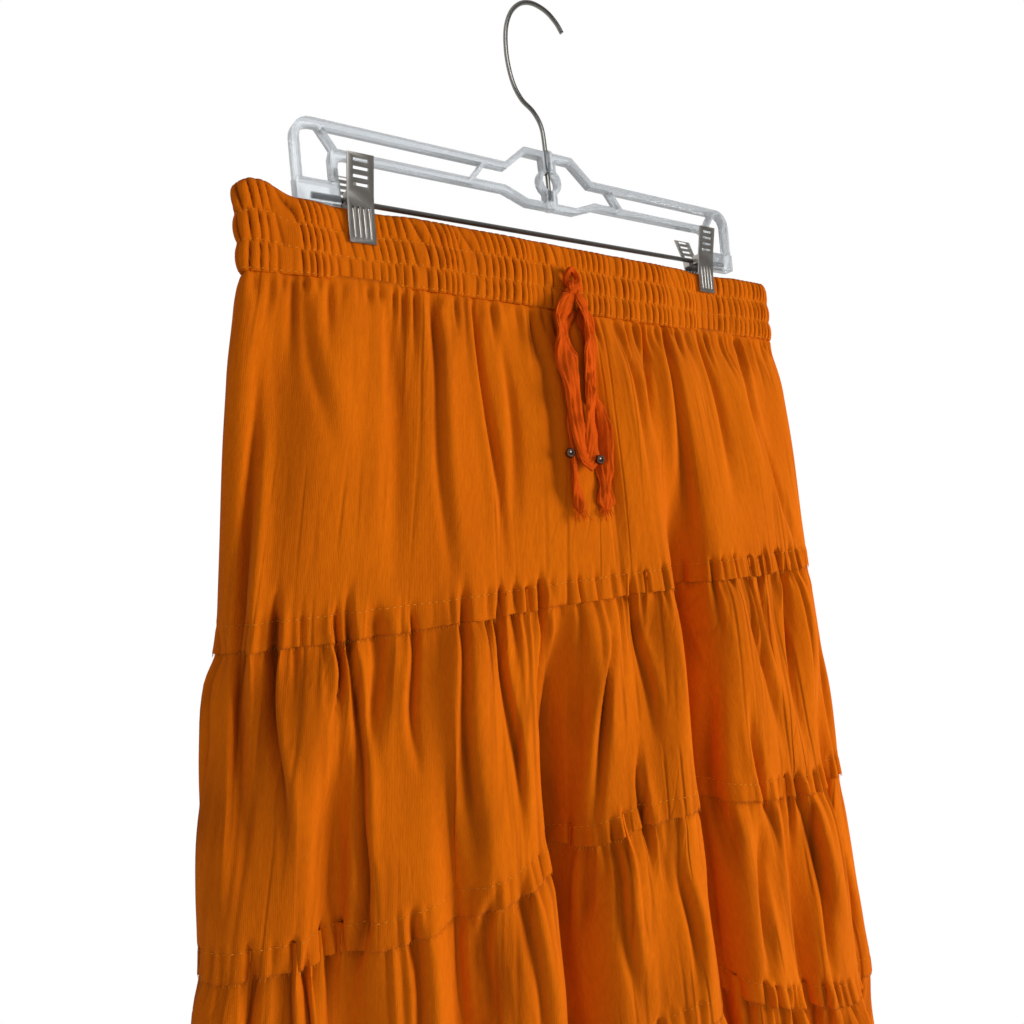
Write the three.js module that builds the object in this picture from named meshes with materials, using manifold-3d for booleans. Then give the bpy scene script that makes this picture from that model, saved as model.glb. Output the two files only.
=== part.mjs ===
// Maxi skirt on a clip hanger: a shirred waistband with a tie, five gathered tiers, and the hanger that carries them.
// Millimetres, +Z up. The front faces -Y and +X is to the right, seen from the front.
// The origin is the inside of the hook's crown, where a rail carries the hanger.

import * as THREE from "three";
import { mergeVertices } from "three/addons/utils/BufferGeometryUtils.js";
import Module from "manifold-3d";

const wasm = await Module();
wasm.setup();

const part = new THREE.Group();

// Colours and finishes
const COLOURS = {
  cloth: 0xd0680f,
  tie: 0xd9580f,
  clearPlastic: 0xd8dce0,
  steelWire: 0x55534f,
  clipSteel: 0x5f5d58,
  springSteel: 0x2a2a2b,
  bead: 0x4a3524,
};
const cloth = () => new THREE.MeshStandardMaterial({ color: COLOURS.cloth, roughness: 0.9 });
const tieCloth = () => new THREE.MeshStandardMaterial({ color: COLOURS.tie, roughness: 0.9 });
const plastic = () => new THREE.MeshStandardMaterial({ color: COLOURS.clearPlastic, roughness: 0.15 });
const metal = (colour) => new THREE.MeshStandardMaterial({ color: colour, roughness: 0.35, metalness: 1 });

function addMesh(name, geometry, material) {
  const mesh = new THREE.Mesh(geometry, material);
  mesh.name = name;
  part.add(mesh);
  return mesh;
}

// Driving sizes of the garment
const CLEARANCE = 0.3;
const ROD_Z = -156;
const BAND_TOP_Z = -164;
const BAND_TOP_TILT = 3;
const BAND_LEFT_RISE = 7;
const BAND_RISE_FROM_X = -178;
const BAND_RISE_REACH = 18;
const BAND_CORNER_DROP = 2.5;
const BAND_CORNER_REACH = 7;
const BAND_BOTTOM_Z = -208;
const BAND_BOTTOM_TILT = 5;
const BAND_WALL = 2;
const BAND_RELIEF = 1.2;
const BAND_GATHERS_PER_SIDE = 52;
const CLIP_X = 141;
const CLIP_PINCH = 3.4;
const CLIP_PINCH_HALF = 9;
const CLIP_PINCH_FADE = 24;
const CLOTH_WALL = 1.2;
const FLAP = 14;
const COLUMNS_PER_SIDE = 40;
const GATHER_START = 16;

// Each tier: the height of its lower edge, its gathers all round and how far they stand out.
const TIERS = [
  { name: "tier_1", edgeZ: -395, gathers: 14, relief: 3.5 },
  { name: "tier_2", edgeZ: -556, gathers: 16, relief: 5 },
  { name: "tier_3", edgeZ: -710, gathers: 16, relief: 6 },
  { name: "tier_4", edgeZ: -868, gathers: 16, relief: 7 },
  { name: "tier_5", edgeZ: -1062, gathers: 16, relief: 8 },
];

// Plan sections from waist to hem. A squareness of 2 is an ellipse, and more is flatter in front and behind.
// centreX and centreY are the section's middle, turn is its turn about the vertical in degrees,
// tilt lifts the left side and drops the right one, and pull draws the front's middle up.
const SECTIONS = [
  { z: -156, halfWidth: 212, halfDepth: 7.5, squareness: 5, centreX: 4, centreY: 0, turn: 0, tilt: 0, pull: 0 },
  { z: -209, halfWidth: 212, halfDepth: 7.5, squareness: 5, centreX: 4, centreY: 0, turn: 0, tilt: 0, pull: 0 },
  { z: -256, halfWidth: 215, halfDepth: 20, squareness: 3.4, centreX: 1, centreY: 2, turn: -1, tilt: 0, pull: 0 },
  { z: -316, halfWidth: 219, halfDepth: 31, squareness: 2.8, centreX: -2, centreY: 5, turn: -2.5, tilt: 0, pull: 0 },
  { z: -398, halfWidth: 225, halfDepth: 40, squareness: 2.5, centreX: -6, centreY: 8, turn: -4, tilt: 0, pull: 2 },
  { z: -476, halfWidth: 230, halfDepth: 45, squareness: 2.5, centreX: -9, centreY: 9, turn: -5, tilt: 1, pull: 12 },
  { z: -556, halfWidth: 236, halfDepth: 50, squareness: 2.5, centreX: -11, centreY: 10, turn: -5, tilt: 2, pull: 26 },
  { z: -710, halfWidth: 249, halfDepth: 60, squareness: 2.4, centreX: -13, centreY: 10, turn: -5, tilt: 3, pull: 60 },
  { z: -868, halfWidth: 262, halfDepth: 70, squareness: 2.3, centreX: -13, centreY: 10, turn: -4, tilt: 1, pull: 40 },
  { z: -1072, halfWidth: 276, halfDepth: 80, squareness: 2.3, centreX: -12, centreY: 10, turn: -3, tilt: 0, pull: 14 },
];
const PULL_CENTRE = 0.28;
const PULL_REACH = 0.1;

// Large folds that run down through the tiers. across goes from 0 at the left side seam to 1 at the right one,
// and drift is how far across the fold has moved at the hem. A positive depth is a trough, a negative one a ridge.
const FOLDS = [
  { side: "front", across: 0.665, drift: -0.07, startZ: -260, fullZ: -420, depth: 30, width: 14 },
  { side: "front", across: 0.6, drift: -0.07, startZ: -320, fullZ: -450, depth: -9, width: 20 },
  { side: "front", across: 0.415, drift: 0, startZ: -370, fullZ: -520, depth: 24, width: 15 },
  { side: "front", across: 0.14, drift: 0.03, startZ: -390, fullZ: -500, depth: 14, width: 11 },
  { side: "front", across: 0.27, drift: 0.03, startZ: -400, fullZ: -540, depth: 13, width: 11 },
  { side: "front", across: 0.78, drift: -0.03, startZ: -500, fullZ: -640, depth: 16, width: 12 },
  { side: "front", across: 0.91, drift: 0.01, startZ: -420, fullZ: -560, depth: 12, width: 11 },
  { side: "back", across: 0.2, drift: -0.01, startZ: -320, fullZ: -460, depth: 24, width: 15 },
  { side: "back", across: 0.42, drift: 0.02, startZ: -380, fullZ: -520, depth: 18, width: 13 },
  { side: "back", across: 0.63, drift: 0, startZ: -300, fullZ: -440, depth: 26, width: 15 },
  { side: "back", across: 0.84, drift: 0.015, startZ: -400, fullZ: -560, depth: 15, width: 12 },
];

const clamp01 = (t) => Math.min(Math.max(t, 0), 1);
const smoothStep = (t) => clamp01(t) ** 2 * (3 - 2 * clamp01(t));
const mix = (a, b, t) => a + (b - a) * t;

// A smooth curve through one column of a table, at height z.
function columnAt(table, key, z) {
  const last = table.length - 1;
  let i = 0;
  while (i < last - 1 && z < table[i + 1].z) i += 1;
  const slope = (k) => {
    const before = table[Math.max(k - 1, 0)];
    const after = table[Math.min(k + 1, last)];
    return (after[key] - before[key]) / (after.z - before.z);
  };
  const from = table[i];
  const to = table[i + 1];
  const span = to.z - from.z;
  const t = clamp01((z - from.z) / span);
  const a = (2 * t ** 3 - 3 * t ** 2 + 1) * from[key] + (t ** 3 - 2 * t ** 2 + t) * span * slope(i);
  const b = (3 * t ** 2 - 2 * t ** 3) * to[key] + (t ** 3 - t ** 2) * span * slope(i + 1);
  return a + b;
}

// The plain section at a height, as points with their distance along it from the left side seam.
const RING_STEPS = 1440;
const rings = new Map();
function ringAt(z) {
  const key = z.toFixed(2);
  if (rings.has(key)) return rings.get(key);
  const halfWidth = columnAt(SECTIONS, "halfWidth", z);
  const halfDepth = columnAt(SECTIONS, "halfDepth", z);
  const power = 2 / columnAt(SECTIONS, "squareness", z);
  const centreX = columnAt(SECTIONS, "centreX", z);
  const centreY = columnAt(SECTIONS, "centreY", z);
  const turn = THREE.MathUtils.degToRad(columnAt(SECTIONS, "turn", z));
  const points = [];
  let length = 0;
  for (let i = 0; i <= RING_STEPS; i += 1) {
    const angle = Math.PI + (2 * Math.PI * i) / RING_STEPS;
    const c = Math.cos(angle);
    const s = Math.sin(angle);
    const wide = halfWidth * Math.sign(c) * Math.abs(c) ** power;
    const deep = halfDepth * Math.sign(s) * Math.abs(s) ** power;
    const x = centreX + wide * Math.cos(turn) - deep * Math.sin(turn);
    const y = centreY + wide * Math.sin(turn) + deep * Math.cos(turn);
    if (i > 0) length += Math.hypot(x - points[i - 1].x, y - points[i - 1].y);
    points.push({ x, y, length });
  }
  const ring = { points, length };
  rings.set(key, ring);
  return ring;
}

// A point of the plain section, u of the way round from the left side seam over the front.
function plainPoint(u, z) {
  const { points, length } = ringAt(z);
  const target = (u - Math.floor(u)) * length;
  let low = 0;
  let high = RING_STEPS;
  while (high - low > 1) {
    const middle = (low + high) >> 1;
    if (points[middle].length <= target) low = middle;
    else high = middle;
  }
  const a = points[low];
  const b = points[high];
  const t = (target - a.length) / Math.max(b.length - a.length, 1e-9);
  return { x: mix(a.x, b.x, t), y: mix(a.y, b.y, t) };
}

// How far the cloth stands in or out of the plain section.
function foldOut(u, z) {
  const length = ringAt(z).length;
  let out = 0;
  for (const fold of FOLDS) {
    const down = clamp01((fold.startZ - z) / (fold.startZ - TIERS.at(-1).edgeZ));
    const across = fold.across + fold.drift * down;
    const centre = fold.side === "front" ? across / 2 : 1 - across / 2;
    const along = (u - centre) * length;
    const grown = smoothStep((fold.startZ - z) / (fold.startZ - fold.fullZ));
    out -= fold.depth * grown * Math.exp(-((along / fold.width) ** 2));
  }
  return out;
}

// The gathers of the tier that shows at a height: none at its seam, most a little below, fading to the next seam.
function gatherOut(u, z) {
  let seamZ = BAND_BOTTOM_Z;
  for (const [i, tier] of TIERS.entries()) {
    const nextSeamZ = i === TIERS.length - 1 ? tier.edgeZ - FLAP : tier.edgeZ + FLAP;
    if (z > nextSeamZ) {
      const down = (seamZ - z) / (seamZ - nextSeamZ);
      const grown = smoothStep((seamZ - z) / (3 * GATHER_START));
      const fading = i === TIERS.length - 1 ? 1 : 1 - smoothStep((down - 0.4) / 0.6);
      const phase = i * 0.37;
      const uneven = 0.011 * Math.sin(2 * Math.PI * (3 * u + phase)) + 0.006 * Math.sin(2 * Math.PI * (7 * u + 2 * phase));
      const strength = 0.75 + 0.25 * Math.sin(2 * Math.PI * (5 * u + 3 * phase));
      const wave = Math.cos(2 * Math.PI * tier.gathers * (u + uneven));
      return tier.relief * grown * fading * strength * wave;
    }
    seamZ = nextSeamZ;
  }
  return 0;
}

// The left side hangs a little higher than the right one, and the front's middle is drawn up.
function hangAt(u, z) {
  const pulled = Math.exp(-(((u - Math.floor(u) - PULL_CENTRE) / PULL_REACH) ** 2));
  return columnAt(SECTIONS, "tilt", z) * Math.cos(2 * Math.PI * u) + columnAt(SECTIONS, "pull", z) * pulled;
}

// A point of the cloth's face and its outward direction in plan. Levels are followed at the tilted height.
function clothPoint(u, z) {
  const at = (v) => {
    const p = plainPoint(v, z);
    const ahead = plainPoint(v + 0.001, z);
    const behind = plainPoint(v - 0.001, z);
    const run = Math.hypot(ahead.x - behind.x, ahead.y - behind.y);
    const out = foldOut(v - Math.floor(v), z) + gatherOut(v, z);
    return {
      x: p.x + ((ahead.y - behind.y) / run) * out,
      y: p.y - ((ahead.x - behind.x) / run) * out,
    };
  };
  const p = at(u);
  const ahead = at(u + 0.002);
  const behind = at(u - 0.002);
  const run = Math.hypot(ahead.x - behind.x, ahead.y - behind.y);
  return {
    x: p.x,
    y: p.y,
    z: z + hangAt(u, z),
    nx: (ahead.y - behind.y) / run,
    ny: -(ahead.x - behind.x) / run,
  };
}

const moved = (p, out) => [p.x + p.nx * out, p.y + p.ny * out, p.z];

// A closed wall between two grids of points. Each grid is rows of columns, and both have the same corners' places.
// The rims are stitched by walking both edges by their share of the way.
function wallGeometry(outer, inner) {
  const positions = [];
  const triangles = [];
  const place = (grid) => grid.map((row) => row.map((p) => positions.push(...p) / 3 - 1));
  const face = (grid, turned) => {
    for (let r = 0; r < grid.length - 1; r += 1) {
      for (let c = 0; c < grid[r].length - 1; c += 1) {
        const quad = [grid[r][c], grid[r + 1][c], grid[r + 1][c + 1], grid[r][c + 1]];
        if (turned) triangles.push(quad[0], quad[2], quad[1], quad[0], quad[3], quad[2]);
        else triangles.push(quad[0], quad[1], quad[2], quad[0], quad[2], quad[3]);
      }
    }
  };
  const stitch = (a, b) => {
    let i = 0;
    let j = 0;
    while (i < a.length - 1 || j < b.length - 1) {
      const nextA = (i + 1) / (a.length - 1);
      const nextB = (j + 1) / (b.length - 1);
      if (j === b.length - 1 || (i < a.length - 1 && nextA <= nextB + 1e-9)) {
        triangles.push(a[i], a[i + 1], b[j]);
        i += 1;
      } else {
        triangles.push(a[i], b[j + 1], b[j]);
        j += 1;
      }
    }
  };
  const o = place(outer);
  const n = place(inner);
  face(o, false);
  face(n, true);
  const leftOf = (grid) => grid.map((row) => row[0]);
  const rightOf = (grid) => grid.map((row) => row.at(-1));
  stitch(o[0], n[0]);
  stitch([...o.at(-1)].reverse(), [...n.at(-1)].reverse());
  stitch(leftOf(o).reverse(), leftOf(n).reverse());
  stitch(rightOf(o), rightOf(n));
  const geometry = new THREE.BufferGeometry();
  geometry.setAttribute("position", new THREE.Float32BufferAttribute(positions, 3));
  geometry.setIndex(triangles);
  geometry.computeVertexNormals();
  return geometry;
}

// The columns of one side, from side seam to side seam. The front runs left to right, the back right to left.
const sideStart = (side) => (side === "front" ? 0 : 0.5);

// The two sides stay clear of each other at the side seams.
function seamShift(side, c, columns) {
  const atSeam = c === 0 || c === columns;
  const away = side === "front" ? -CLEARANCE / 2 : CLEARANCE / 2;
  return atSeam ? away : 0;
}

// One side of the waistband: gathers on the outer points between stitch rows, over a plain inside.
const BAND_ROWS = [
  { down: 0, relief: 0.35 },
  { down: 0.17, relief: 1 },
  { down: 0.34, relief: 0.3 },
  { down: 0.5, relief: 1 },
  { down: 0.66, relief: 0.3 },
  { down: 0.83, relief: 1 },
  { down: 1, relief: 0.35 },
];

// 1 between a clip's jaws, fading to 0 beside them.
const clipPinch = (x) => 1 - smoothStep((Math.abs(Math.abs(x) - CLIP_X) - CLIP_PINCH_HALF) / CLIP_PINCH_FADE);

function bandPoint(u, down) {
  const tilt = Math.cos(2 * Math.PI * u);
  const p = clothPoint(u, BAND_BOTTOM_Z);
  const rise = BAND_LEFT_RISE * smoothStep((BAND_RISE_FROM_X - p.x) / BAND_RISE_REACH);
  const waist = SECTIONS[0];
  const toEnd = waist.halfWidth - Math.abs(p.x - waist.centreX);
  const drop = BAND_CORNER_DROP * (1 - smoothStep(toEnd / BAND_CORNER_REACH));
  const topZ = BAND_TOP_Z + BAND_TOP_TILT * tilt + rise - drop;
  const z = mix(topZ, BAND_BOTTOM_Z + BAND_BOTTOM_TILT * tilt, down);
  const pinched = clipPinch(p.x) * (1 - 0.3 * down);
  const y = p.y - Math.sign(p.y) * CLIP_PINCH * pinched * clamp01(Math.abs(p.y) / 4);
  return { ...p, y, z };
}

function bandSide(side) {
  const columns = 2 * BAND_GATHERS_PER_SIDE;
  const innerColumns = columns / 4;
  const outer = BAND_ROWS.map((row) => {
    const points = [];
    for (let c = 0; c <= columns; c += 1) {
      const p = bandPoint(sideStart(side) + c / columns / 2, row.down);
      const ridge = c % 2 === 1 ? BAND_RELIEF * row.relief * (1 - 0.6 * clipPinch(p.x)) : 0;
      const [x, y, z] = moved(p, ridge);
      points.push([x, y + seamShift(side, c, columns), z]);
    }
    return points;
  });
  const inner = [0, 0.5, 1].map((down) => {
    const points = [];
    for (let c = 0; c <= innerColumns; c += 1) {
      const [x, y, z] = moved(bandPoint(sideStart(side) + c / innerColumns / 2, down), -BAND_WALL);
      points.push([x, y + seamShift(side, c, innerColumns), z]);
    }
    return points;
  });
  return wallGeometry(outer, inner);
}

for (const side of ["front", "back"]) addMesh(`waistband_${side}`, bandSide(side), cloth());

// One side of a tier. Its top lies under the flap of the tier above, and its own flap lies over the next one.
function tierSide(index, side) {
  const tier = TIERS[index];
  const above = TIERS[index - 1];
  const under = -(CLOTH_WALL + CLEARANCE);
  const seamZ = tier.edgeZ + FLAP;
  const topZ = above ? above.edgeZ : BAND_BOTTOM_Z - CLEARANCE;
  const rows = above
    ? [
        { z: above.edgeZ + FLAP, out: under },
        { z: above.edgeZ, out: under },
      ]
    : [{ z: topZ, out: 0, isWaist: true }];
  rows.push({ z: topZ - GATHER_START, out: 0 });
  if (!above) rows.push({ z: mix(topZ, seamZ, 0.35), out: 0 });
  rows.push({ z: mix(topZ, seamZ, above ? 0.5 : 0.68), out: 0 });
  rows.push({ z: seamZ, out: 0 });
  rows.push({ z: tier.edgeZ, out: 0 });
  const grid = (out) =>
    rows.map((row) => {
      const points = [];
      for (let c = 0; c <= COLUMNS_PER_SIDE; c += 1) {
        const u = sideStart(side) + c / COLUMNS_PER_SIDE / 2;
        const p = clothPoint(u, row.z);
        const lift = row.isWaist ? BAND_BOTTOM_TILT * Math.cos(2 * Math.PI * u) - hangAt(u, row.z) : 0;
        const [x, y, z] = moved(p, row.out + out);
        points.push([x, y + seamShift(side, c, COLUMNS_PER_SIDE), z + lift]);
      }
      return points;
    });
  return wallGeometry(grid(0), grid(-CLOTH_WALL));
}

TIERS.forEach((tier, i) => {
  for (const side of ["front", "back"]) addMesh(`${tier.name}_${side}`, tierSide(i, side), cloth());
});

// Joining and cutting
function toSolid(geometry) {
  const plain = geometry.index ? geometry.toNonIndexed() : geometry.clone();
  for (const name of ["normal", "uv"]) plain.deleteAttribute(name);
  const merged = mergeVertices(plain, 1e-4);
  const triVerts = new Uint32Array(merged.index.array);
  return new wasm.Manifold(new wasm.Mesh({ numProp: 3, vertProperties: merged.attributes.position.array, triVerts }));
}

function toGeometry(solid) {
  const mesh = solid.getMesh();
  const geometry = new THREE.BufferGeometry();
  geometry.setAttribute("position", new THREE.BufferAttribute(mesh.vertProperties, 3));
  geometry.setIndex(new THREE.BufferAttribute(mesh.triVerts, 1));
  geometry.computeVertexNormals();
  return geometry;
}

// A bar of round section between two points on a line along X or Z.
function roundBar(radius, length, axis, sides) {
  const bar = new THREE.CylinderGeometry(radius, radius, length, sides);
  return axis === "x" ? bar.rotateZ(Math.PI / 2) : bar.rotateX(Math.PI / 2);
}

// Sizes of the hanger, with heights measured up from the rod
const FRAME = {
  halfWidth: 176,
  depth: 6,
  bar: 4.2,
  topZ: 42.5,
  corner: 12,
  lowerTopZ: 27.5,
  lowerBottomZ: 23.5,
  dipTopZ: 21.5,
  dipBottomZ: 17.5,
  dipHalf: 20,
  humpTopZ: 55.5,
  humpHalf: 20,
  humpBase: 36,
  post: 4,
  ringZ: 36,
  ringOuter: 9,
  ringInner: 6.3,
};
const SOCKET = { inner: 151, halfDepth: 4, topZ: 8, bottomZ: -4.3, boreDepth: 16 };
const ROD_RADIUS = 1.6;
const WIRE_RADIUS = 1.5;
const COLLAR = { radius: 4.5, bottomZ: 43.5, topZ: 56 };
const LOWER_BOSS = { radius: 4, bottomZ: 17.6, topZ: 29 };
const STEM_BOTTOM_Z = 24;

// A plate between two depths in Y, from the corners of its outline in X and Z, none of them on a straight line.
function plateOf(points, halfDepth) {
  const shape = new THREE.Shape(points.map(([x, z]) => new THREE.Vector2(x, z)));
  const plate = new THREE.ExtrudeGeometry(shape, { depth: 2 * halfDepth, bevelEnabled: false });
  return toSolid(plate.rotateX(Math.PI / 2).translate(0, halfDepth, 0));
}

const mirrored = (points) => points.map(([x, z]) => [-x, z]).reverse();

function arcPoints(centreX, centreZ, radius, fromDegrees, toDegrees, steps) {
  const points = [];
  for (let i = 0; i <= steps; i += 1) {
    const angle = THREE.MathUtils.degToRad(mix(fromDegrees, toDegrees, i / steps));
    points.push([centreX + radius * Math.cos(angle), centreZ + radius * Math.sin(angle)]);
  }
  return points;
}

function hangerFrame() {
  const f = FRAME;
  const cornerX = f.halfWidth - f.corner;
  const cornerZ = f.topZ - f.corner;
  const innerRadius = f.corner - f.bar;
  const strut = 2.2;
  const rightOutline = [
    [f.humpHalf, f.humpTopZ],
    [f.humpBase, f.topZ],
    ...arcPoints(cornerX, cornerZ, f.corner, 90, 0, 6),
    [f.halfWidth, SOCKET.bottomZ],
    [SOCKET.inner, SOCKET.bottomZ],
    ...arcPoints(SOCKET.inner - 6, f.lowerBottomZ - 6, 6, 0, 90, 4),
    [f.dipHalf + 18, f.lowerBottomZ],
    [f.dipHalf, f.dipBottomZ],
  ];
  const innerTop = f.topZ - f.bar;
  const postX = SOCKET.inner + f.post;
  const windows = [
    // between the corner and the outer strut
    [
      [f.halfWidth - f.bar, SOCKET.topZ],
      ...arcPoints(cornerX, cornerZ, innerRadius, 0, 90, 4),
      [160 + strut / 2, innerTop],
      [152.5 + strut / 2, f.lowerTopZ],
      [postX, f.lowerTopZ - 5],
      [postX, SOCKET.topZ],
    ],
    // the long one between the struts
    [
      [160 - strut, innerTop],
      [52 + strut, innerTop],
      [61 + strut, f.lowerTopZ],
      [152.5 - strut, f.lowerTopZ],
    ],
    // beside the ring
    [
      [52 - strut / 2, innerTop],
      [f.humpBase - 1, innerTop],
      [f.humpHalf - 1, f.humpTopZ - f.bar],
      [COLLAR.radius + 1, f.humpTopZ - f.bar],
      ...arcPoints(0, f.ringZ, f.ringOuter, 55, -60, 6),
      [LOWER_BOSS.radius + 0.5, f.dipTopZ],
      [f.dipHalf, f.dipTopZ],
      [f.dipHalf + 17, f.lowerTopZ],
      [61 - strut / 2, f.lowerTopZ],
    ],
  ];
  let solid = plateOf([...rightOutline, ...mirrored(rightOutline)], f.depth / 2);
  windows.push(arcPoints(0, f.ringZ, f.ringInner, 0, 345, 23));
  for (const points of windows) {
    solid = solid.subtract(plateOf(points, f.depth));
    solid = solid.subtract(plateOf(mirrored(points), f.depth));
  }
  for (const boss of [COLLAR, LOWER_BOSS]) {
    const post = roundBar(boss.radius, boss.topZ - boss.bottomZ, "z", 16);
    solid = solid.add(toSolid(post.translate(0, 0, (boss.topZ + boss.bottomZ) / 2)));
  }
  const stemLength = FRAME.humpTopZ + 10 - STEM_BOTTOM_Z;
  const stemBore = roundBar(WIRE_RADIUS + CLEARANCE, stemLength, "z", 12);
  solid = solid.subtract(toSolid(stemBore.translate(0, 0, STEM_BOTTOM_Z - CLEARANCE + stemLength / 2)));
  for (const sign of [-1, 1]) {
    const width = f.halfWidth - SOCKET.inner;
    const height = SOCKET.topZ - SOCKET.bottomZ;
    const block = new THREE.BoxGeometry(width, 2 * SOCKET.halfDepth, height);
    block.translate(sign * (SOCKET.inner + width / 2), 0, (SOCKET.topZ + SOCKET.bottomZ) / 2);
    const bore = roundBar(ROD_RADIUS + CLEARANCE, 2 * SOCKET.boreDepth, "x", 12);
    solid = solid.add(toSolid(block));
    solid = solid.subtract(toSolid(bore.translate(sign * SOCKET.inner, 0, 0)));
  }
  return toGeometry(solid).translate(0, 0, ROD_Z);
}

addMesh("hanger_frame", hangerFrame(), plastic());

const rodLength = 2 * (SOCKET.inner + SOCKET.boreDepth - CLEARANCE);
addMesh("hanger_rod", roundBar(ROD_RADIUS, rodLength, "x", 12).translate(0, 0, ROD_Z), metal(COLOURS.steelWire));

// The hook's wire, bent by hand from the stem to the tip, with heights measured up from the rod
const HOOK_ROUTE = [
  [0, STEM_BOTTOM_Z],
  [0, 44],
  [0, 62],
  [-1.5, 74],
  [-7, 82.5],
  [-15.5, 88.5],
  [-21, 97],
  [-24, 109],
  [-24.6, 122],
  [-22.8, 135],
  [-17.5, 146.5],
  [-9, 154.5],
  [1, 157.5],
  [12, 155.5],
  [20, 150],
  [24.6, 144],
];

// A closed tube of an elliptical section along a route of points, flat side facing the front.
function tubeAlong(points, width, thickness, sides, steps) {
  const section = new THREE.Shape();
  for (let i = 0; i < sides; i += 1) {
    const angle = (2 * Math.PI * i) / sides;
    const x = (thickness / 2) * Math.cos(angle);
    const y = (width / 2) * Math.sin(angle);
    if (i === 0) section.moveTo(x, y);
    else section.lineTo(x, y);
  }
  const extrudePath = new THREE.CatmullRomCurve3(points.map((p) => new THREE.Vector3(...p)));
  return new THREE.ExtrudeGeometry(section, { steps, extrudePath, bevelEnabled: false });
}

const hookPoints = HOOK_ROUTE.map(([x, z]) => [x, 0, ROD_Z + z]);
addMesh("hook", tubeAlong(hookPoints, 2 * WIRE_RADIUS, 2 * WIRE_RADIUS, 10, 40), metal(COLOURS.steelWire));

// Each clip: two pressed plates on the rod, with a coiled spring between them. Side views are [y, z] from the rod.
const CLIP = {
  width: 16,
  sheet: 1,
  ear: 1,
  earReach: 3,
  springRadius: 2.9,
  springLength: 10,
};
const FRONT_PLATE = [
  [-11.5, 23],
  [-7.3, 2],
  [-5.9, -12],
  [-5.8, -25],
];
const BACK_PLATE = [
  [14.5, 21],
  [7.6, 2],
  [5.9, -12],
  [5.8, -25],
];

function clipPlate(profile, facing) {
  const half = CLIP.sheet / 2;
  const face = profile.map(([y, z]) => new THREE.Vector2(y - half, z));
  const back = profile.map(([y, z]) => new THREE.Vector2(y + half, z)).reverse();
  const shape = new THREE.Shape([...face, ...back]);
  const plate = new THREE.ExtrudeGeometry(shape, { depth: CLIP.width, bevelEnabled: false });
  plate.applyMatrix4(new THREE.Matrix4().makeBasis(
    new THREE.Vector3(0, 1, 0),
    new THREE.Vector3(0, 0, 1),
    new THREE.Vector3(1, 0, 0),
  ));
  plate.translate(-CLIP.width / 2, 0, 0);
  let solid = toSolid(plate);
  const near = ROD_RADIUS + CLEARANCE;
  const far = 7;
  for (const sign of [-1, 1]) {
    const ear = new THREE.BoxGeometry(CLIP.ear, far - near, 2 * CLIP.earReach);
    ear.translate((sign * (CLIP.width - CLIP.ear)) / 2, (facing * (far + near)) / 2, 0);
    solid = solid.add(toSolid(ear));
  }
  return toGeometry(solid);
}

function clipSpring() {
  const inner = ROD_RADIUS + CLEARANCE;
  const half = CLIP.springLength / 2;
  const profile = [
    [inner, -half],
    [CLIP.springRadius, -half],
    [CLIP.springRadius, half],
    [inner, half],
    [inner, -half],
  ];
  const ring = new THREE.LatheGeometry(profile.map(([r, h]) => new THREE.Vector2(r, h)), 12);
  return ring.rotateZ(Math.PI / 2);
}

for (const [side, sign] of [["left", -1], ["right", 1]]) {
  const clip = new THREE.Group();
  clip.position.set(sign * CLIP_X, 0, ROD_Z);
  part.add(clip);
  const pieces = [
    [`clip_${side}_front_plate`, clipPlate(FRONT_PLATE, -1), metal(COLOURS.clipSteel)],
    [`clip_${side}_back_plate`, clipPlate(BACK_PLATE, 1), metal(COLOURS.clipSteel)],
    [`clip_${side}_spring`, clipSpring(), metal(COLOURS.springSteel)],
  ];
  for (const [name, geometry, material] of pieces) clip.add(addMesh(name, geometry, material));
}

// The tie: flat strips that leave the band through two slits, cross in a knot and hang down the front.
// Each row is a place on the front and how far the strip's middle lies off the cloth.
const TIE = { width: 8, thickness: 2.6, knotX: 2, knotZ: -191, knotWidth: 13, knotDepth: 7, knotHeight: 20 };
const TIE_ROUTES = [
  {
    name: "tie_loop",
    steps: 30,
    rows: [
      { x: -3, z: -203, off: 8 },
      { x: -13, z: -212, off: 8 },
      { x: -18, z: -230, off: 7 },
      { x: -20, z: -255, off: 7 },
      { x: -20.5, z: -280, off: 7 },
      { x: -20, z: -300, off: 7 },
      { x: -15, z: -308, off: 7 },
      { x: -11, z: -298, off: 7 },
      { x: -8, z: -280, off: 7 },
      { x: -2, z: -257, off: 7 },
      { x: 5, z: -232, off: 7 },
      { x: 8, z: -214, off: 8 },
      { x: 6, z: -203, off: 8 },
    ],
  },
  {
    name: "tie_tail_left",
    steps: 18,
    rows: [
      { x: -1, z: -204, off: 2.5 },
      { x: -9, z: -222, off: 3 },
      { x: -14, z: -246, off: 3.4 },
      { x: -19, z: -272, off: 3.4 },
      { x: -24, z: -298, off: 3.4 },
      { x: -26, z: -318, off: 3.4 },
      { x: -25, z: -340, off: 3.4 },
    ],
  },
  {
    name: "tie_tail_right",
    steps: 18,
    rows: [
      { x: 8.5, z: -204, off: 2.5 },
      { x: 12, z: -222, off: 3 },
      { x: 9, z: -244, off: 3.4 },
      { x: 3, z: -264, off: 3.4 },
      { x: 4, z: -286, off: 3.4 },
      { x: 0, z: -312, off: 3.4 },
      { x: -4, z: -340, off: 3.4 },
    ],
  },
];
const BEAD_RADIUS = 2.6;
const BEADS = [
  { name: "tie_bead_left", x: -31.4, z: -302, off: 3.4 },
  { name: "tie_bead_right", x: -9, z: -313, off: 3 },
];

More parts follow.
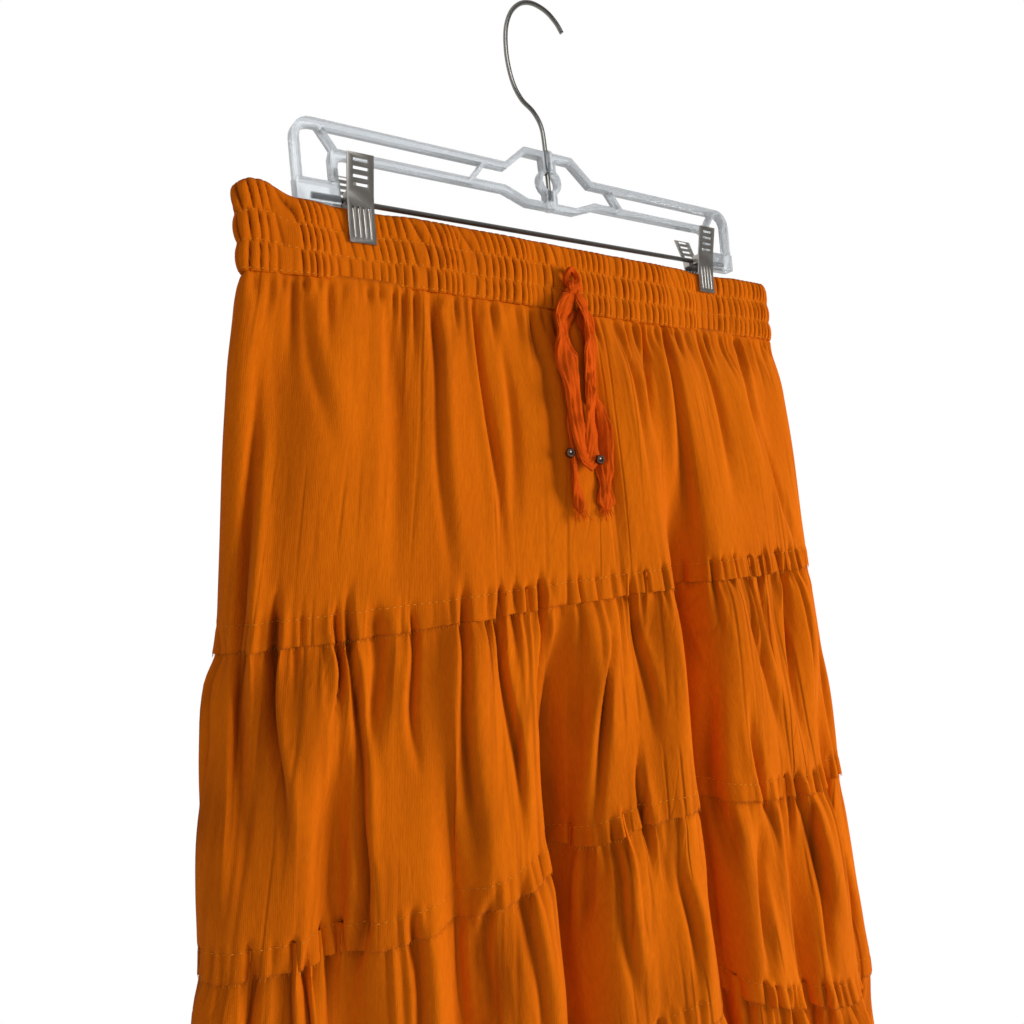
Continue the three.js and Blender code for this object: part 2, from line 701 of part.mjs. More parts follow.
// The y of the cloth's face in front, at a place given by x and z.
function frontY(x, z) {
  let low = 0.02;
  let high = 0.48;
  for (let i = 0; i < 40; i += 1) {
    const middle = (low + high) / 2;
    if (clothPoint(middle, z).x < x) low = middle;
    else high = middle;
  }
  return clothPoint((low + high) / 2, z).y;
}

const tiePoint = ({ x, z, off }) => [x, frontY(x, Math.min(z, BAND_BOTTOM_Z)) - off, z];

for (const route of TIE_ROUTES) {
  const strip = tubeAlong(route.rows.map(tiePoint), TIE.width, TIE.thickness, 8, route.steps);
  addMesh(route.name, strip, tieCloth());
}

const knot = new THREE.SphereGeometry(0.5, 12, 8);
knot.scale(TIE.knotWidth, TIE.knotDepth, TIE.knotHeight);
const knotY = -(SECTIONS[0].halfDepth + BAND_RELIEF + CLEARANCE + TIE.knotDepth / 2);
addMesh("tie_knot", knot.translate(TIE.knotX, knotY, TIE.knotZ), tieCloth());

for (const bead of BEADS) {
  const ball = new THREE.SphereGeometry(BEAD_RADIUS, 10, 8).translate(...tiePoint(bead));
  addMesh(bead.name, ball, metal(COLOURS.bead));
}


export default part;
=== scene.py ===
"""Maxi skirt on a clip hanger: the cloth, seams, drawstring, hanger and clips, dressed over the part's frame."""

import math

import bpy
import numpy as np
from bpy.props import FloatProperty, FloatVectorProperty, IntProperty, PointerProperty
from mathutils import Matrix, Vector


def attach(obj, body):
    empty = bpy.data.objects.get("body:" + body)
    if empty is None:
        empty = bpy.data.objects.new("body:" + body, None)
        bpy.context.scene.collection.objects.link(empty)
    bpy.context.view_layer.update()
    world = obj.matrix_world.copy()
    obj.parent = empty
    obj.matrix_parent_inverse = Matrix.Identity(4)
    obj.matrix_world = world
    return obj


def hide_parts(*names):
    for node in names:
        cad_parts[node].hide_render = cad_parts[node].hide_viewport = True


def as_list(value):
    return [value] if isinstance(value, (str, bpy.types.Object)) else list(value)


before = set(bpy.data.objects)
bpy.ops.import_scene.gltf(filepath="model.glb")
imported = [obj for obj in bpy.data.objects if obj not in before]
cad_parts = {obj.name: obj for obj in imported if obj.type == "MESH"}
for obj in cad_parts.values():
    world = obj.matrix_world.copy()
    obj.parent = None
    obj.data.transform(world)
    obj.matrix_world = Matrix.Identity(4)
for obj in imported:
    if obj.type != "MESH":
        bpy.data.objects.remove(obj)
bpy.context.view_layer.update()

bl_info = {
    "name": "Maxi Skirt on a Clip Hanger",
    "version": (1, 0, 0),
    "blender": (4, 5, 0),
    "location": "3D View > Sidebar > Skirt",
    "description": "Builds a tiered maxi skirt with a shirred waistband on a clear clip hanger",
    "category": "Object",
}

MM = 0.001
BODY = "root"

# Sizes in millimetres, measured from the inside of the hook's crown, as in the part's own source
CLEARANCE = 0.3
ROD_Z = -156
BAND_TOP_Z = -164
BAND_TOP_TILT = 3
BAND_LEFT_RISE = 7
BAND_RISE_FROM_X = -178
BAND_RISE_REACH = 18
BAND_CORNER_DROP = 2.5
BAND_CORNER_REACH = 7
BAND_BOTTOM_Z = -208
BAND_BOTTOM_TILT = 5
WAIST_TILT_REACH = 60
BAND_WALL = 2
CLIP_X = 141
CLIP_PINCH = 3.4
CLIP_PINCH_HALF = 9
CLIP_PINCH_FADE = 24
FLAP = 14
GATHER_START = 16
UNDER_FLAP = 1.9
FLAP_STEP = 1.1
UNDER_BAND = 3

# Each tier: the height of its lower edge, its broad gathers all round, how far they stand out, and mesh columns
TIERS = [
    {"name": "tier_1", "edge": -395, "gathers": 14, "relief": 3.5, "columns": 920},
    {"name": "tier_2", "edge": -556, "gathers": 16, "relief": 5, "columns": 920},
    {"name": "tier_3", "edge": -710, "gathers": 16, "relief": 6, "columns": 920},
    {"name": "tier_4", "edge": -868, "gathers": 16, "relief": 7, "columns": 640},
    {"name": "tier_5", "edge": -1062, "gathers": 16, "relief": 8, "columns": 640},
]

# Plan sections from waist to hem, in the columns z, half width, half depth, squareness, centre x, centre y, turn,
# tilt and pull
SECTION_COLUMNS = ("z", "half_width", "half_depth", "squareness", "centre_x", "centre_y", "turn", "tilt", "pull")
SECTIONS = [
    (-156, 212, 7.5, 5, 4, 0, 0, 0, 0),
    (-209, 212, 7.5, 5, 4, 0, 0, 0, 0),
    (-256, 215, 20, 3.4, 1, 2, -1, 0, 0),
    (-316, 219, 31, 2.8, -2, 5, -2.5, 0, 0),
    (-398, 225, 40, 2.5, -6, 8, -4, 0, 2),
    (-476, 230, 45, 2.5, -9, 9, -5, 1, 12),
    (-556, 236, 50, 2.5, -11, 10, -5, 2, 26),
    (-710, 249, 60, 2.4, -13, 10, -5, 3, 60),
    (-868, 262, 70, 2.3, -13, 10, -4, 1, 40),
    (-1072, 276, 80, 2.3, -12, 10, -3, 0, 14),
]
PULL_CENTRE = 0.28
PULL_REACH = 0.1

# Large folds, in the columns side, across, drift, start z, full z, depth and width
FOLDS = [
    ("front", 0.665, -0.07, -260, -420, 30, 14),
    ("front", 0.6, -0.07, -320, -450, -9, 20),
    ("front", 0.415, 0, -370, -520, 24, 15),
    ("front", 0.14, 0.03, -390, -500, 14, 11),
    ("front", 0.27, 0.03, -400, -540, 13, 11),
    ("front", 0.78, -0.03, -500, -640, 16, 12),
    ("front", 0.91, 0.01, -420, -560, 12, 11),
    ("back", 0.2, -0.01, -320, -460, 24, 15),
    ("back", 0.42, 0.02, -380, -520, 18, 13),
    ("back", 0.63, 0, -300, -440, 26, 15),
    ("back", 0.84, 0.015, -400, -560, 15, 12),
]

# Creases laid on each side, in the columns across at the top, across at the end, top z, end z, depth, width
# and side of the low ridge. A crease runs on through a flap into the next tier. One of negative depth stands out.
CREASES = {
    "front": [
        (0.662, 0.63, -330, -760, 6, 5.5, -1), (0.64, 0.595, -560, -1060, 7, 6.5, -1),
        (0.3, 0.3, -300, -720, -6.5, 24, 1), (0.3, 0.3, -600, -1060, -6, 24, 1), (0.415, 0.415, -410, -820, 10, 6, -1),
        (0.415, 0.415, -620, -1060, 10, 6.5, -1), (0.005, 0.02, -384, -500, 4.5, 10, 1), (0, 0, -440, -640, -5, 22, 1),
        (0.03, 0.05, -250, -530, 7.5, 3.2, 1), (0.07, 0.092, -372, -510, 6.5, 2.3, 1),
        (0.142, 0.142, -378, -445, 5.5, 1.8, -1), (0.155, 0.178, -376, -550, 6, 2.1, 1),
        (0.172, 0.165, -480, -585, 7, 2.4, -1), (0.185, 0.183, -380, -480, 5, 4.5, 1),
        (0.222, 0.235, -384, -480, 4.5, 2.2, -1), (0.283, 0.3, -378, -565, 6, 3.2, -1),
        (0.335, 0.36, -384, -555, 5, 2.6, 1), (0.4, 0.4, -378, -480, 6.5, 2.4, 1),
        (0.5, 0.44, -410, -565, 6.5, 2.6, -1), (0.525, 0.515, -500, -605, 6, 2.4, 1),
        (0.54, 0.55, -385, -515, 4.6, 2.6, 1), (0.075, 0.13, -212, -310, 2.2, 4, 1),
        (0.19, 0.215, -212, -400, 3.2, 6, -1), (0.25, 0.275, -210, -400, 3.4, 3.4, 1),
        (0.325, 0.35, -210, -400, 4.2, 3, -1), (0.367, 0.367, -222, -370, 3, 3.6, -1),
        (0.42, 0.44, -214, -360, 2.6, 4, 1), (0.53, 0.52, -222, -410, 3.2, 4.4, 1),
        (0.592, 0.6, -210, -330, 3.4, 3.2, 1), (0.645, 0.622, -209, -300, 4.4, 3.4, -1),
        (0.692, 0.67, -208, -410, 5.4, 4.2, -1), (0.783, 0.77, -210, -360, 3.6, 4, -1),
        (0.883, 0.85, -210, -330, 3.6, 3.6, 1), (0.86, 0.93, -270, -400, 3.8, 4.2, -1),
        (0.725, 0.742, -480, -620, 7, 4.4, -1), (0.675, 0.655, -460, -620, 5.4, 3.6, 1),
        (0.715, 0.67, -580, -720, 6.4, 4, 1), (0.808, 0.845, -540, -660, 6.6, 4, 1),
        (0.83, 0.815, -590, -720, 6.4, 4, -1), (0.56, 0.555, -580, -710, 6.4, 3.6, 1),
        (0.75, 0.8, -400, -540, 5.4, 4.6, 1), (0.86, 0.84, -390, -540, 5.4, 4.2, -1),
        (0.94, 0.95, -400, -580, 5.4, 4.2, 1), (0.06, 0.075, -545, -680, 5.6, 3.7, 1),
        (0.12, 0.11, -548, -650, 5.6, 3.3, -1), (0.22, 0.235, -545, -690, 6.2, 4, 1),
        (0.31, 0.3, -550, -640, 5, 3.3, -1), (0.35, 0.36, -548, -700, 5.3, 4, 1),
        (0.47, 0.48, -550, -700, 5.6, 3.7, 1), (0.63, 0.62, -552, -640, 4.8, 3.3, -1),
        (0.92, 0.93, -550, -700, 5, 4, 1), (0.1, 0.12, -698, -840, 5.6, 4.4, 1),
        (0.33, 0.32, -700, -850, 6.2, 4.4, -1), (0.5, 0.51, -698, -830, 5.3, 4, 1),
        (0.72, 0.71, -700, -850, 6.2, 4.4, -1), (0.88, 0.89, -698, -840, 5.6, 4.2, 1),
        (0.05, 0.06, -856, -1040, 5.6, 4.6, 1), (0.22, 0.21, -856, -1030, 5.9, 4.4, -1),
        (0.49, 0.5, -856, -1045, 5.6, 4.4, 1), (0.68, 0.69, -856, -1030, 6.2, 4.6, 1),
        (0.86, 0.85, -856, -1040, 5.6, 4.4, -1),
    ],
    "back": [
        (0.08, 0.1, -212, -350, 4.2, 4.6, 1), (0.3, 0.29, -210, -330, 4.5, 4.2, -1),
        (0.51, 0.53, -212, -370, 4.8, 4.4, 1), (0.72, 0.71, -210, -340, 4.2, 4.2, -1),
        (0.92, 0.93, -215, -360, 3.9, 4.6, 1), (0.1, 0.12, -378, -520, 5.6, 3.7, 1),
        (0.27, 0.26, -380, -490, 5, 3.3, -1), (0.33, 0.35, -376, -540, 5.9, 4, 1),
        (0.55, 0.54, -380, -520, 5.3, 3.5, 1), (0.77, 0.78, -378, -545, 5.9, 4, -1),
        (0.93, 0.92, -380, -500, 5, 3.5, 1), (0.07, 0.08, -548, -690, 5.6, 4, 1), (0.3, 0.31, -550, -680, 5.9, 4, -1),
        (0.5, 0.49, -546, -700, 5.6, 3.7, 1), (0.73, 0.74, -550, -690, 6.2, 4, 1),
        (0.92, 0.93, -548, -670, 5, 3.5, -1), (0.12, 0.13, -700, -850, 5.9, 4.4, 1),
        (0.35, 0.34, -698, -840, 5.6, 4.2, -1), (0.55, 0.56, -700, -860, 6.2, 4.4, 1),
        (0.78, 0.77, -698, -850, 5.9, 4.2, 1), (0.1, 0.09, -856, -1040, 5.9, 4.6, -1),
        (0.33, 0.34, -856, -1035, 5.9, 4.4, 1), (0.52, 0.51, -856, -1045, 5.6, 4.4, 1),
        (0.75, 0.76, -856, -1030, 6.2, 4.6, -1),
    ],
}

# Puckers drawn up by each row of gathering stitches, in the columns height of the row, mean spacing, mean depth,
# mean width and shortest and longest reach below it
PUCKER_ROWS = [
    (-208.3, 8, 2.3, 2.0, 9, 60),
    (-381, 10, 2.9, 1.4, 20, 150),
    (-542, 10, 3.0, 1.5, 20, 150),
    (-696, 10, 3.0, 1.6, 20, 150),
    (-854, 11, 3.2, 2.0, 20, 170),
]

# Fine gathers below each seam, in the columns spacing, relief, shortest reach and longest reach
GATHER_LAYERS = [
    (7.0, 0.4, 10, 40),
    (13.0, 0.9, 30, 110),
    (31.0, 1.9, 90, 200),
]

# How far the gathers of each channel slant over its height, in gathers
CHANNEL_SLANTS = (0.9, 0.5, -0.3)

# The hook's wire: x and height above the rod
HOOK_ROUTE = [
    (0, 24), (0, 44), (0, 62), (-1.5, 74), (-7, 82.5), (-15.5, 88.5), (-21, 97), (-24, 109), (-24.6, 122),
    (-22.8, 135), (-17.5, 146.5), (-9, 154.5), (1, 157.5), (12, 155.5), (20, 150), (24.6, 144),
]
HOOK_WIRE = 3.0

# The clips' springs: the wire's thickness, its turns, and the length and radius of the coil
SPRING_WIRE = 0.9
SPRING_TURNS = 5.5
SPRING_LENGTH = 9.2
SPRING_RADIUS = 2.4

# Four slots and four grooves in each plate of a clip: heights from the rod, steps and sizes across, deep and high
SLOT_TOP, SLOT_STEP, SLOT_SIZE, SLOT_Y = 19.5, 4.2, (9, 14, 1.9), 11
GROOVE_MIDDLE, GROOVE_STEP, GROOVE_RADIUS, GROOVE_LENGTH, GROOVE_Y = -13.5, 3.2, 0.75, 17, 6.75

# Stitches and frayed ends; the band's stitches lie on these rows of its mesh
SEAM_STITCH = {"pitch": 4.0, "length": 2.6, "width": 0.7, "height": 0.45}
BAND_STITCH = {"pitch": 3.6, "length": 2.2, "width": 0.6, "height": 0.35}
BAND_STITCH_ROWS = (9, 17, 25)
BAND_ROWS, BAND_COLUMNS = 27, 1400
FRINGE = {"pitch": 1.7, "shortest": 0.8, "longest": 2.8}

# The tie's strips: x, z and how far the strip's middle lies off the cloth
TIE_WIDTH = 11
TIE_THICKNESS = 2.6
TIE_ROUTES = {
    "tie_loop": [
        (0, -197, 7), (-7, -205, 8), (-14, -215, 7.5), (-18, -232, 7), (-20, -255, 6.5), (-20.5, -280, 6),
        (-20, -300, 5.2), (-15, -308, 4.6), (-11, -298, 5.2), (-8, -280, 6), (-2, -257, 6.5), (5, -232, 7),
        (8, -214, 7.5), (6, -204, 8), (3, -197, 7),
    ],
    "tie_tail_left": [
        (-1, -204, 2.5), (-9, -222, 3), (-14, -246, 3.4), (-19, -272, 3.4), (-24, -298, 3.4), (-26, -318, 3.4),
        (-25, -340, 3.4),
    ],
    "tie_tail_right": [
        (8.5, -204, 2.5), (12, -222, 3), (9, -244, 3.4), (3, -264, 3.4), (4, -286, 3.4), (0, -312, 3.4),
        (-4, -340, 3.4),
    ],
}
KNOT = {"x": 2, "z": -191, "off": 1.2, "depth": 7, "height": 20}
BEADS = {"tie_bead_left": (-29, -303, 5.5), "tie_bead_right": (-8, -308, 8)}
BEAD_RADIUS = 3.1

# Steps of a plain section, all round
RING_STEPS = 1440

# Where the camera stands in metres, how it is turned and its lens, from the fit of the hanger's known size
CAMERA_PLACE = (-0.33839, -0.40319, -0.34555)
CAMERA_RIGHT = (0.81438, -0.57302, -0.09179)
CAMERA_UP = (0.06271, -0.07034, 0.99555)
CAMERA_BACK = (-0.57693, -0.81651, -0.02135)
CAMERA_LENS = 28.125

# The stage in metres: the floor, what the lights aim at, and where metal sees a bright window
FLOOR_Z = -1.62
FLOOR_RADIUS = 1.05
LIGHT_AIM = (0, 0, -0.55)
WINDOW_DIRECTION = (-0.3, -0.85, 0.42)


def clamp01(t):
    return np.clip(t, 0.0, 1.0)


def smooth_step(t):
    t = clamp01(t)
    return t * t * (3 - 2 * t)


def section(key, z):
    """A smooth curve through one column of SECTIONS, at height z."""
    k = SECTION_COLUMNS.index(key)
    last = len(SECTIONS) - 1
    i = 0
    while i < last - 1 and z < SECTIONS[i + 1][0]:
        i += 1

    def slope(n):
        before, after = SECTIONS[max(n - 1, 0)], SECTIONS[min(n + 1, last)]
        return (after[k] - before[k]) / (after[0] - before[0])

    start, end = SECTIONS[i], SECTIONS[i + 1]
    span = end[0] - start[0]
    t = float(clamp01((z - start[0]) / span))
    a = (2 * t**3 - 3 * t**2 + 1) * start[k] + (t**3 - 2 * t**2 + t) * span * slope(i)
    b = (3 * t**2 - 2 * t**3) * end[k] + (t**3 - t**2) * span * slope(i + 1)
    return a + b


def ring(z):
    """The plain section at height z: x, y and the distance along it from the left side seam over the front."""
    power = 2 / section("squareness", z)
    turn = math.radians(section("turn", z))
    angle = np.pi + np.linspace(0, 2 * np.pi, RING_STEPS + 1)
    c, s = np.cos(angle), np.sin(angle)
    wide = section("half_width", z) * np.sign(c) * np.abs(c) ** power
    deep = section("half_depth", z) * np.sign(s) * np.abs(s) ** power
    x = section("centre_x", z) + wide * math.cos(turn) - deep * math.sin(turn)
    y = section("centre_y", z) + wide * math.sin(turn) + deep * math.cos(turn)
    length = np.concatenate([[0], np.cumsum(np.hypot(np.diff(x), np.diff(y)))])
    return x, y, length


def fold_out(u, z, length):
    """How far the large folds move the cloth at height z."""
    out = np.zeros_like(u)
    hem = TIERS[-1]["edge"]
    for side, across, drift, start, full, depth, width in FOLDS:
        place = across + drift * float(clamp01((start - z) / (start - hem)))
        centre = place / 2 if side == "front" else 1 - place / 2
        along = (u - centre) * length
        out -= depth * smooth_step((start - z) / (start - full)) * np.exp(-((along / width) ** 2))
    return out


def gather_out(u, z):
    """The broad gathers of the tier that shows at height z."""
    seam = BAND_BOTTOM_Z
    for i, tier in enumerate(TIERS):
        last = i == len(TIERS) - 1
        next_seam = tier["edge"] - FLAP if last else tier["edge"] + FLAP
        if z > next_seam:
            down = (seam - z) / (seam - next_seam)
            grown = smooth_step((seam - z) / (3 * GATHER_START))
            fading = 1 if last else 1 - smooth_step((down - 0.4) / 0.6)
            phase = i * 0.37
            uneven = 0.011 * np.sin(2 * np.pi * (3 * u + phase)) + 0.006 * np.sin(2 * np.pi * (7 * u + 2 * phase))
            strength = 0.75 + 0.25 * np.sin(2 * np.pi * (5 * u + 3 * phase))
            return tier["relief"] * grown * fading * strength * np.cos(2 * np.pi * tier["gathers"] * (u + uneven))
        seam = next_seam
    return np.zeros_like(u)


def cloth_row(u, z):
    """Points of the cloth's face at the shares u of the way round, at nominal height z, in millimetres."""
    x, y, length = ring(z)
    total = length[-1]

    def plain(v):
        at = (v % 1) * total
        return np.interp(at, length, x), np.interp(at, length, y)

    px, py = plain(u)
    ax, ay = plain(u + 0.001)
    bx, by = plain(u - 0.001)
    run = np.hypot(ax - bx, ay - by)
    out = fold_out(u % 1, z, total) + gather_out(u, z)
    pulled = np.exp(-(((u % 1 - PULL_CENTRE) / PULL_REACH) ** 2))
    hang = section("tilt", z) * np.cos(2 * np.pi * u) + section("pull", z) * pulled
    return np.stack([px + (ay - by) / run * out, py - (ax - bx) / run * out, z + hang], axis=-1)


def front_y(x, z):
    """The y of the cloth's face in front at x and nominal height z."""
    u = np.linspace(0.02, 0.48, 2000)
    row = cloth_row(u, z)
    return float(np.interp(x, row[:, 0], row[:, 1]))


def between(a, b, c, d, t):
    """The point at share t of the way from b to c on a smooth curve through a, b, c and d."""
    return b + 0.5 * t * (c - a + t * (2 * a - 5 * b + 4 * c - d + t * (3 * (b - c) + d - a)))


def uneven(u, count, seed):
    """Smooth uneven waves between -1 and 1, count of them all round."""
    values = np.random.default_rng(seed).uniform(-1, 1, count)
    at = (u % 1) * count
    i = np.floor(at).astype(int)
    return between(*(values[(i + k) % count] for k in (-1, 0, 1, 2)), at - i)


def grid_normals(points):
    """Outward unit normals of a grid whose rows run down and whose columns run round over the front."""
    across = np.roll(points, -1, axis=1) - np.roll(points, 1, axis=1)
    normal = np.cross(np.gradient(points, axis=0), across)
    return normal / np.maximum(np.linalg.norm(normal, axis=-1, keepdims=True), 1e-9)


def path_length(route):
    """The length of an open line of points."""
    return float(np.linalg.norm(np.diff(route, axis=0), axis=1).sum())


def flat_size(grid):
    """The length all round and the height of a tube's face, laid flat, in metres."""
    around = np.linalg.norm(np.roll(grid, -1, axis=1) - grid, axis=-1).sum(axis=1)
    drop = np.linalg.norm(np.diff(grid, axis=0), axis=-1).sum(axis=0)
    return round(float(around.mean()) * MM, 3), round(float(drop.mean()) * MM, 3)


def along_line(line, normal):
    """The length of a closed line of points, and what gives the point and the normal at a distance along it."""
    steps = np.linalg.norm(np.roll(line, -1, axis=0) - line, axis=1)
    at = np.concatenate([[0], np.cumsum(steps)])
    tables = [np.concatenate([table, table[:1]]) for table in (line, normal)]

    def place(d):
        return [np.array([np.interp(d, at, table[:, i]) for i in range(3)]) for table in tables]

    return at[-1], place


def link_smooth(mesh):
    mesh.shade_smooth()
    obj = bpy.data.objects.new(mesh.name, mesh)
    bpy.context.collection.objects.link(obj)
    return obj


def new_object(name, vertices, faces, uvs=None):
    """A mesh from vertices in millimetres, with an optional UV pair in millimetres for each vertex."""
    mesh = bpy.data.meshes.new(name)
    mesh.from_pydata((np.asarray(vertices) * MM).tolist(), [], [tuple(map(int, f)) for f in faces])
    mesh.update()
    if uvs is not None:
        layer = mesh.uv_layers.new(name="cloth")
        corner = np.empty(len(mesh.loops), dtype=np.int32)
        mesh.loops.foreach_get("vertex_index", corner)
        layer.data.foreach_set("uv", (np.asarray(uvs)[corner] * MM).astype(np.float32).ravel())
    return link_smooth(mesh)


def tube_faces(rows, columns):
    """Quads of a grid of rows that run down, closed round its columns."""
    r, c = np.meshgrid(np.arange(rows - 1), np.arange(columns), indexing="ij")
    n = (c + 1) % columns
    quads = np.stack([r * columns + c, (r + 1) * columns + c, (r + 1) * columns + n, r * columns + n], axis=-1)
    return quads.reshape(-1, 4)


def deselect():
    for obj in bpy.context.selected_objects:
        obj.select_set(False)


def make_active(obj):
    deselect()
    obj.select_set(True)
    bpy.context.view_layer.objects.active = obj


def apply_modifier(obj, kind, **settings):
    make_active(obj)
    modifier = obj.modifiers.new(kind.lower(), kind)
    for key, value in settings.items():
        setattr(modifier, key, value)
    bpy.ops.object.modifier_apply(modifier=modifier.name)


def round_edges(obj, width, sharpest, smooth):
    """Bevels the edges that are sharper than an angle, and shades the rest smooth, in mm and degrees."""
    limit = math.radians(sharpest)
    apply_modifier(obj, "BEVEL", width=width * MM, segments=2, limit_method="ANGLE", angle_limit=limit)
    smooth_by_angle(obj, smooth)


def smooth_by_angle(obj, degrees):
    make_active(obj)
    bpy.ops.object.shade_smooth_by_angle(angle=math.radians(degrees))


def edit_all(obj, merge=None, flatten=None, outward=True):
    """Merges close points, dissolves flat edges and turns the faces outward, on all of a mesh."""
    make_active(obj)
    bpy.ops.object.mode_set(mode="EDIT")
    bpy.ops.mesh.select_all(action="SELECT")
    if merge:
        bpy.ops.mesh.remove_doubles(threshold=merge * MM)
    if flatten:
        bpy.ops.mesh.dissolve_limited(angle_limit=math.radians(flatten))
    if outward:
        bpy.ops.mesh.normals_make_consistent(inside=False)
    bpy.ops.object.mode_set(mode="OBJECT")
    return obj


def join(objects, name):
    """One object of several, with their places and scales applied."""
    make_active(objects[0])
    for obj in objects:
        obj.select_set(True)
    bpy.ops.object.transform_apply(location=True, rotation=True, scale=True)
    bpy.ops.object.join()
    bpy.context.object.name = name
    return bpy.context.object


def give_material(obj, kind):
    obj.data.materials.clear()
    obj.data.materials.append(materials[kind])


def finish_piece(obj, kind, *nodes):
    """Gives a piece its material and body, and hides the nodes that it stands for."""
    give_material(obj, kind)
    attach(obj, BODY)
    if nodes:
        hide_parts(*nodes)
    return obj


# Materials

materials = {}


def linear(value):
    """An sRGB hex colour as linear red, green, blue and alpha."""
    channels = [(value >> shift & 255) / 255 for shift in (16, 8, 0)]
    return tuple(c / 12.92 if c <= 0.04045 else ((c + 0.055) / 1.055) ** 2.4 for c in channels) + (1.0,)


def per_mm(size):
    """The scale that repeats a pattern once in each size millimetres, on coordinates in metres."""
    return 1 / (size * MM)


def add_node(tree, kind, links=(), values=(), **settings):
    """A node with its attributes and socket values set, and its inputs linked to sockets or nodes' first outputs."""
    node = tree.nodes.new("ShaderNode" + kind)
    for key, value in settings.items():
        if key in node.inputs:
            node.inputs[key].default_value = value
        else:
            setattr(node, key, value)
    for socket, value in dict(values).items():
        node.inputs[socket].default_value = value
    for source, target in links:
        tree.links.new(getattr(source, "outputs", [source])[0], node.inputs[target])
    return node


def start_material(name, values):
    """A material with its shader's socket values set, its node tree and that shader."""
    material = bpy.data.materials.new(name)
    material.use_nodes = True
    tree = material.node_tree
    shader = tree.nodes["Principled BSDF"]
    for key, value in values.items():
        shader.inputs[key].default_value = value
    return material, tree, shader


def crease_lines(tree, uv, across, along, turn, rarity):
    """Lines where a slow noise, as long and wide as given in mm, crosses its middle: 1 on a line, in patches."""
    size, turned = (across * MM, along * MM, 1), (0, 0, math.radians(turn))
    place = add_node(tree, "Mapping", [(uv, "Vector")], vector_type="TEXTURE", Rotation=turned, Scale=size)
    noise = add_node(tree, "TexNoise", [(place, "Vector")], Scale=1.0, Detail=1.0, Distortion=0.15)
    middle = add_node(tree, "Math", [(noise, 0)], {1: 0.5}, operation="SUBTRACT")
    away = add_node(tree, "Math", [(middle, 0)], operation="ABSOLUTE")
    near = {"From Max": 0.075, "To Min": 1.0, "To Max": 0.0}
    line = add_node(tree, "MapRange", [(away, "Value")], near, interpolation_type="SMOOTHSTEP")
    patch = add_node(tree, "TexNoise", [(uv, "Vector")], Scale=per_mm(75), Detail=1.0)
    shown = add_node(tree, "MapRange", [(patch, "Value")], {"From Min": rarity, "From Max": rarity + 0.2})
    return add_node(tree, "Math", [(line, 0), (shown, 1)], operation="MULTIPLY")


def gauze_material(name, colour, dark, deep, thread=0.9, crinkles=0.9):
    """Cotton gauze, plain woven and washed: matt, slubby threads, small crinkles and a slight sheen of fibre ends."""
    material, tree, shader = start_material(
        name, {"Roughness": 0.92, "Sheen Weight": 0.01, "Sheen Roughness": 0.5, "Specular IOR Level": 0.04}
    )
    uv = add_node(tree, "UVMap", uv_map="cloth")
    # Three noises, in mm across and along the cloth: streaks of thicker and thinner yarn, wear, and small crinkles
    noises = []
    for across, along, detail in ((1.4, 7, 4.0), (55, 110, 3.0), (7, 28, 5.0)):
        size = add_node(tree, "Mapping", [(uv, "Vector")], Scale=(per_mm(across), per_mm(along), 1))
        noises.append(add_node(tree, "TexNoise", [(size, "Vector")], Scale=1.0, Detail=detail))
    streaks, wear, crinkle = noises
    mixed = add_node(tree, "Math", [(streaks, 0), (wear, 1)], operation="ADD")
    ramp = add_node(tree, "MapRange", [(mixed, "Value")], {"From Min": 0.75, "From Max": 1.3})
    tint = add_node(tree, "Mix", [(ramp, "Factor")], {6: dark, 7: colour}, data_type="RGBA")
    # Warp and weft, drawn a little coarser than the real 0.5 mm so that they show
    waves = []
    for direction in ("X", "Y"):
        spacing = {"Scale": 2 * math.pi * per_mm(thread) / 20, "Distortion": 1.2, "Detail Scale": 2.0}
        waves.append(add_node(tree, "TexWave", [(uv, "Vector")], spacing, bands_direction=direction).outputs["Fac"])
    weave = add_node(tree, "Math", [(waves[0], 0), (waves[1], 1)], operation="ADD")
    # Sharp creases of washed cotton: long ones down the cloth, and faint ones that slant; few on the first tier
    long_lines = crease_lines(tree, uv, 15, 240, 2, 0.4)
    short_lines = crease_lines(tree, uv, 12, 70, 16, 0.5)
    faint = add_node(tree, "Math", [(short_lines, 0)], {1: 0.35}, operation="MULTIPLY")
    lines = add_node(tree, "Math", [(long_lines, 0), (faint, 1)], operation="MAXIMUM")
    below = add_node(tree, "SeparateXYZ", [(uv, "Vector")]).outputs["Y"]
    first_edge = -TIERS[0]["edge"] * MM
    first_tier = {"From Min": first_edge - 0.03, "From Max": first_edge, "To Min": 0.55}
    lower = add_node(tree, "MapRange", [(below, "Value")], first_tier)
    creased = add_node(tree, "Math", [(lines, 0), (lower, 1)], operation="MULTIPLY")
    # Painted shade: the colour goes towards the shade colour along the crease lines and where the mesh attribute marks
    # narrow valleys and creases
    painted_shade = add_node(tree, "Attribute", attribute_name="painted_shade").outputs["Fac"]
    shade = add_node(tree, "Math", [(creased, 0)], {1: 0.32}, operation="MULTIPLY")
    painted_shade_amount = add_node(tree, "Math", [(shade, 0), (painted_shade, 1)], operation="ADD", use_clamp=True)
    shaded = add_node(tree, "Mix", [(painted_shade_amount, "Factor"), (tint.outputs[2], 6)], {7: deep}, data_type="RGBA")
    tree.links.new(shaded.outputs[2], shader.inputs["Base Color"])
    # Each bump takes the one before it as its normal
    relief = []
    layers = [(weave, 0.4, 0.12), (crinkle, 0.8, crinkles), (streaks, 0.4, 0.3), (creased, 0.7, -1.3)]
    for height, strength, distance in layers:
        links = [(height, "Height")] + [(bump, "Normal") for bump in relief[-1:]]
        relief.append(add_node(tree, "Bump", links, Strength=strength, Distance=distance * MM))
    tree.links.new(relief[-1].outputs[0], shader.inputs["Normal"])
    return material


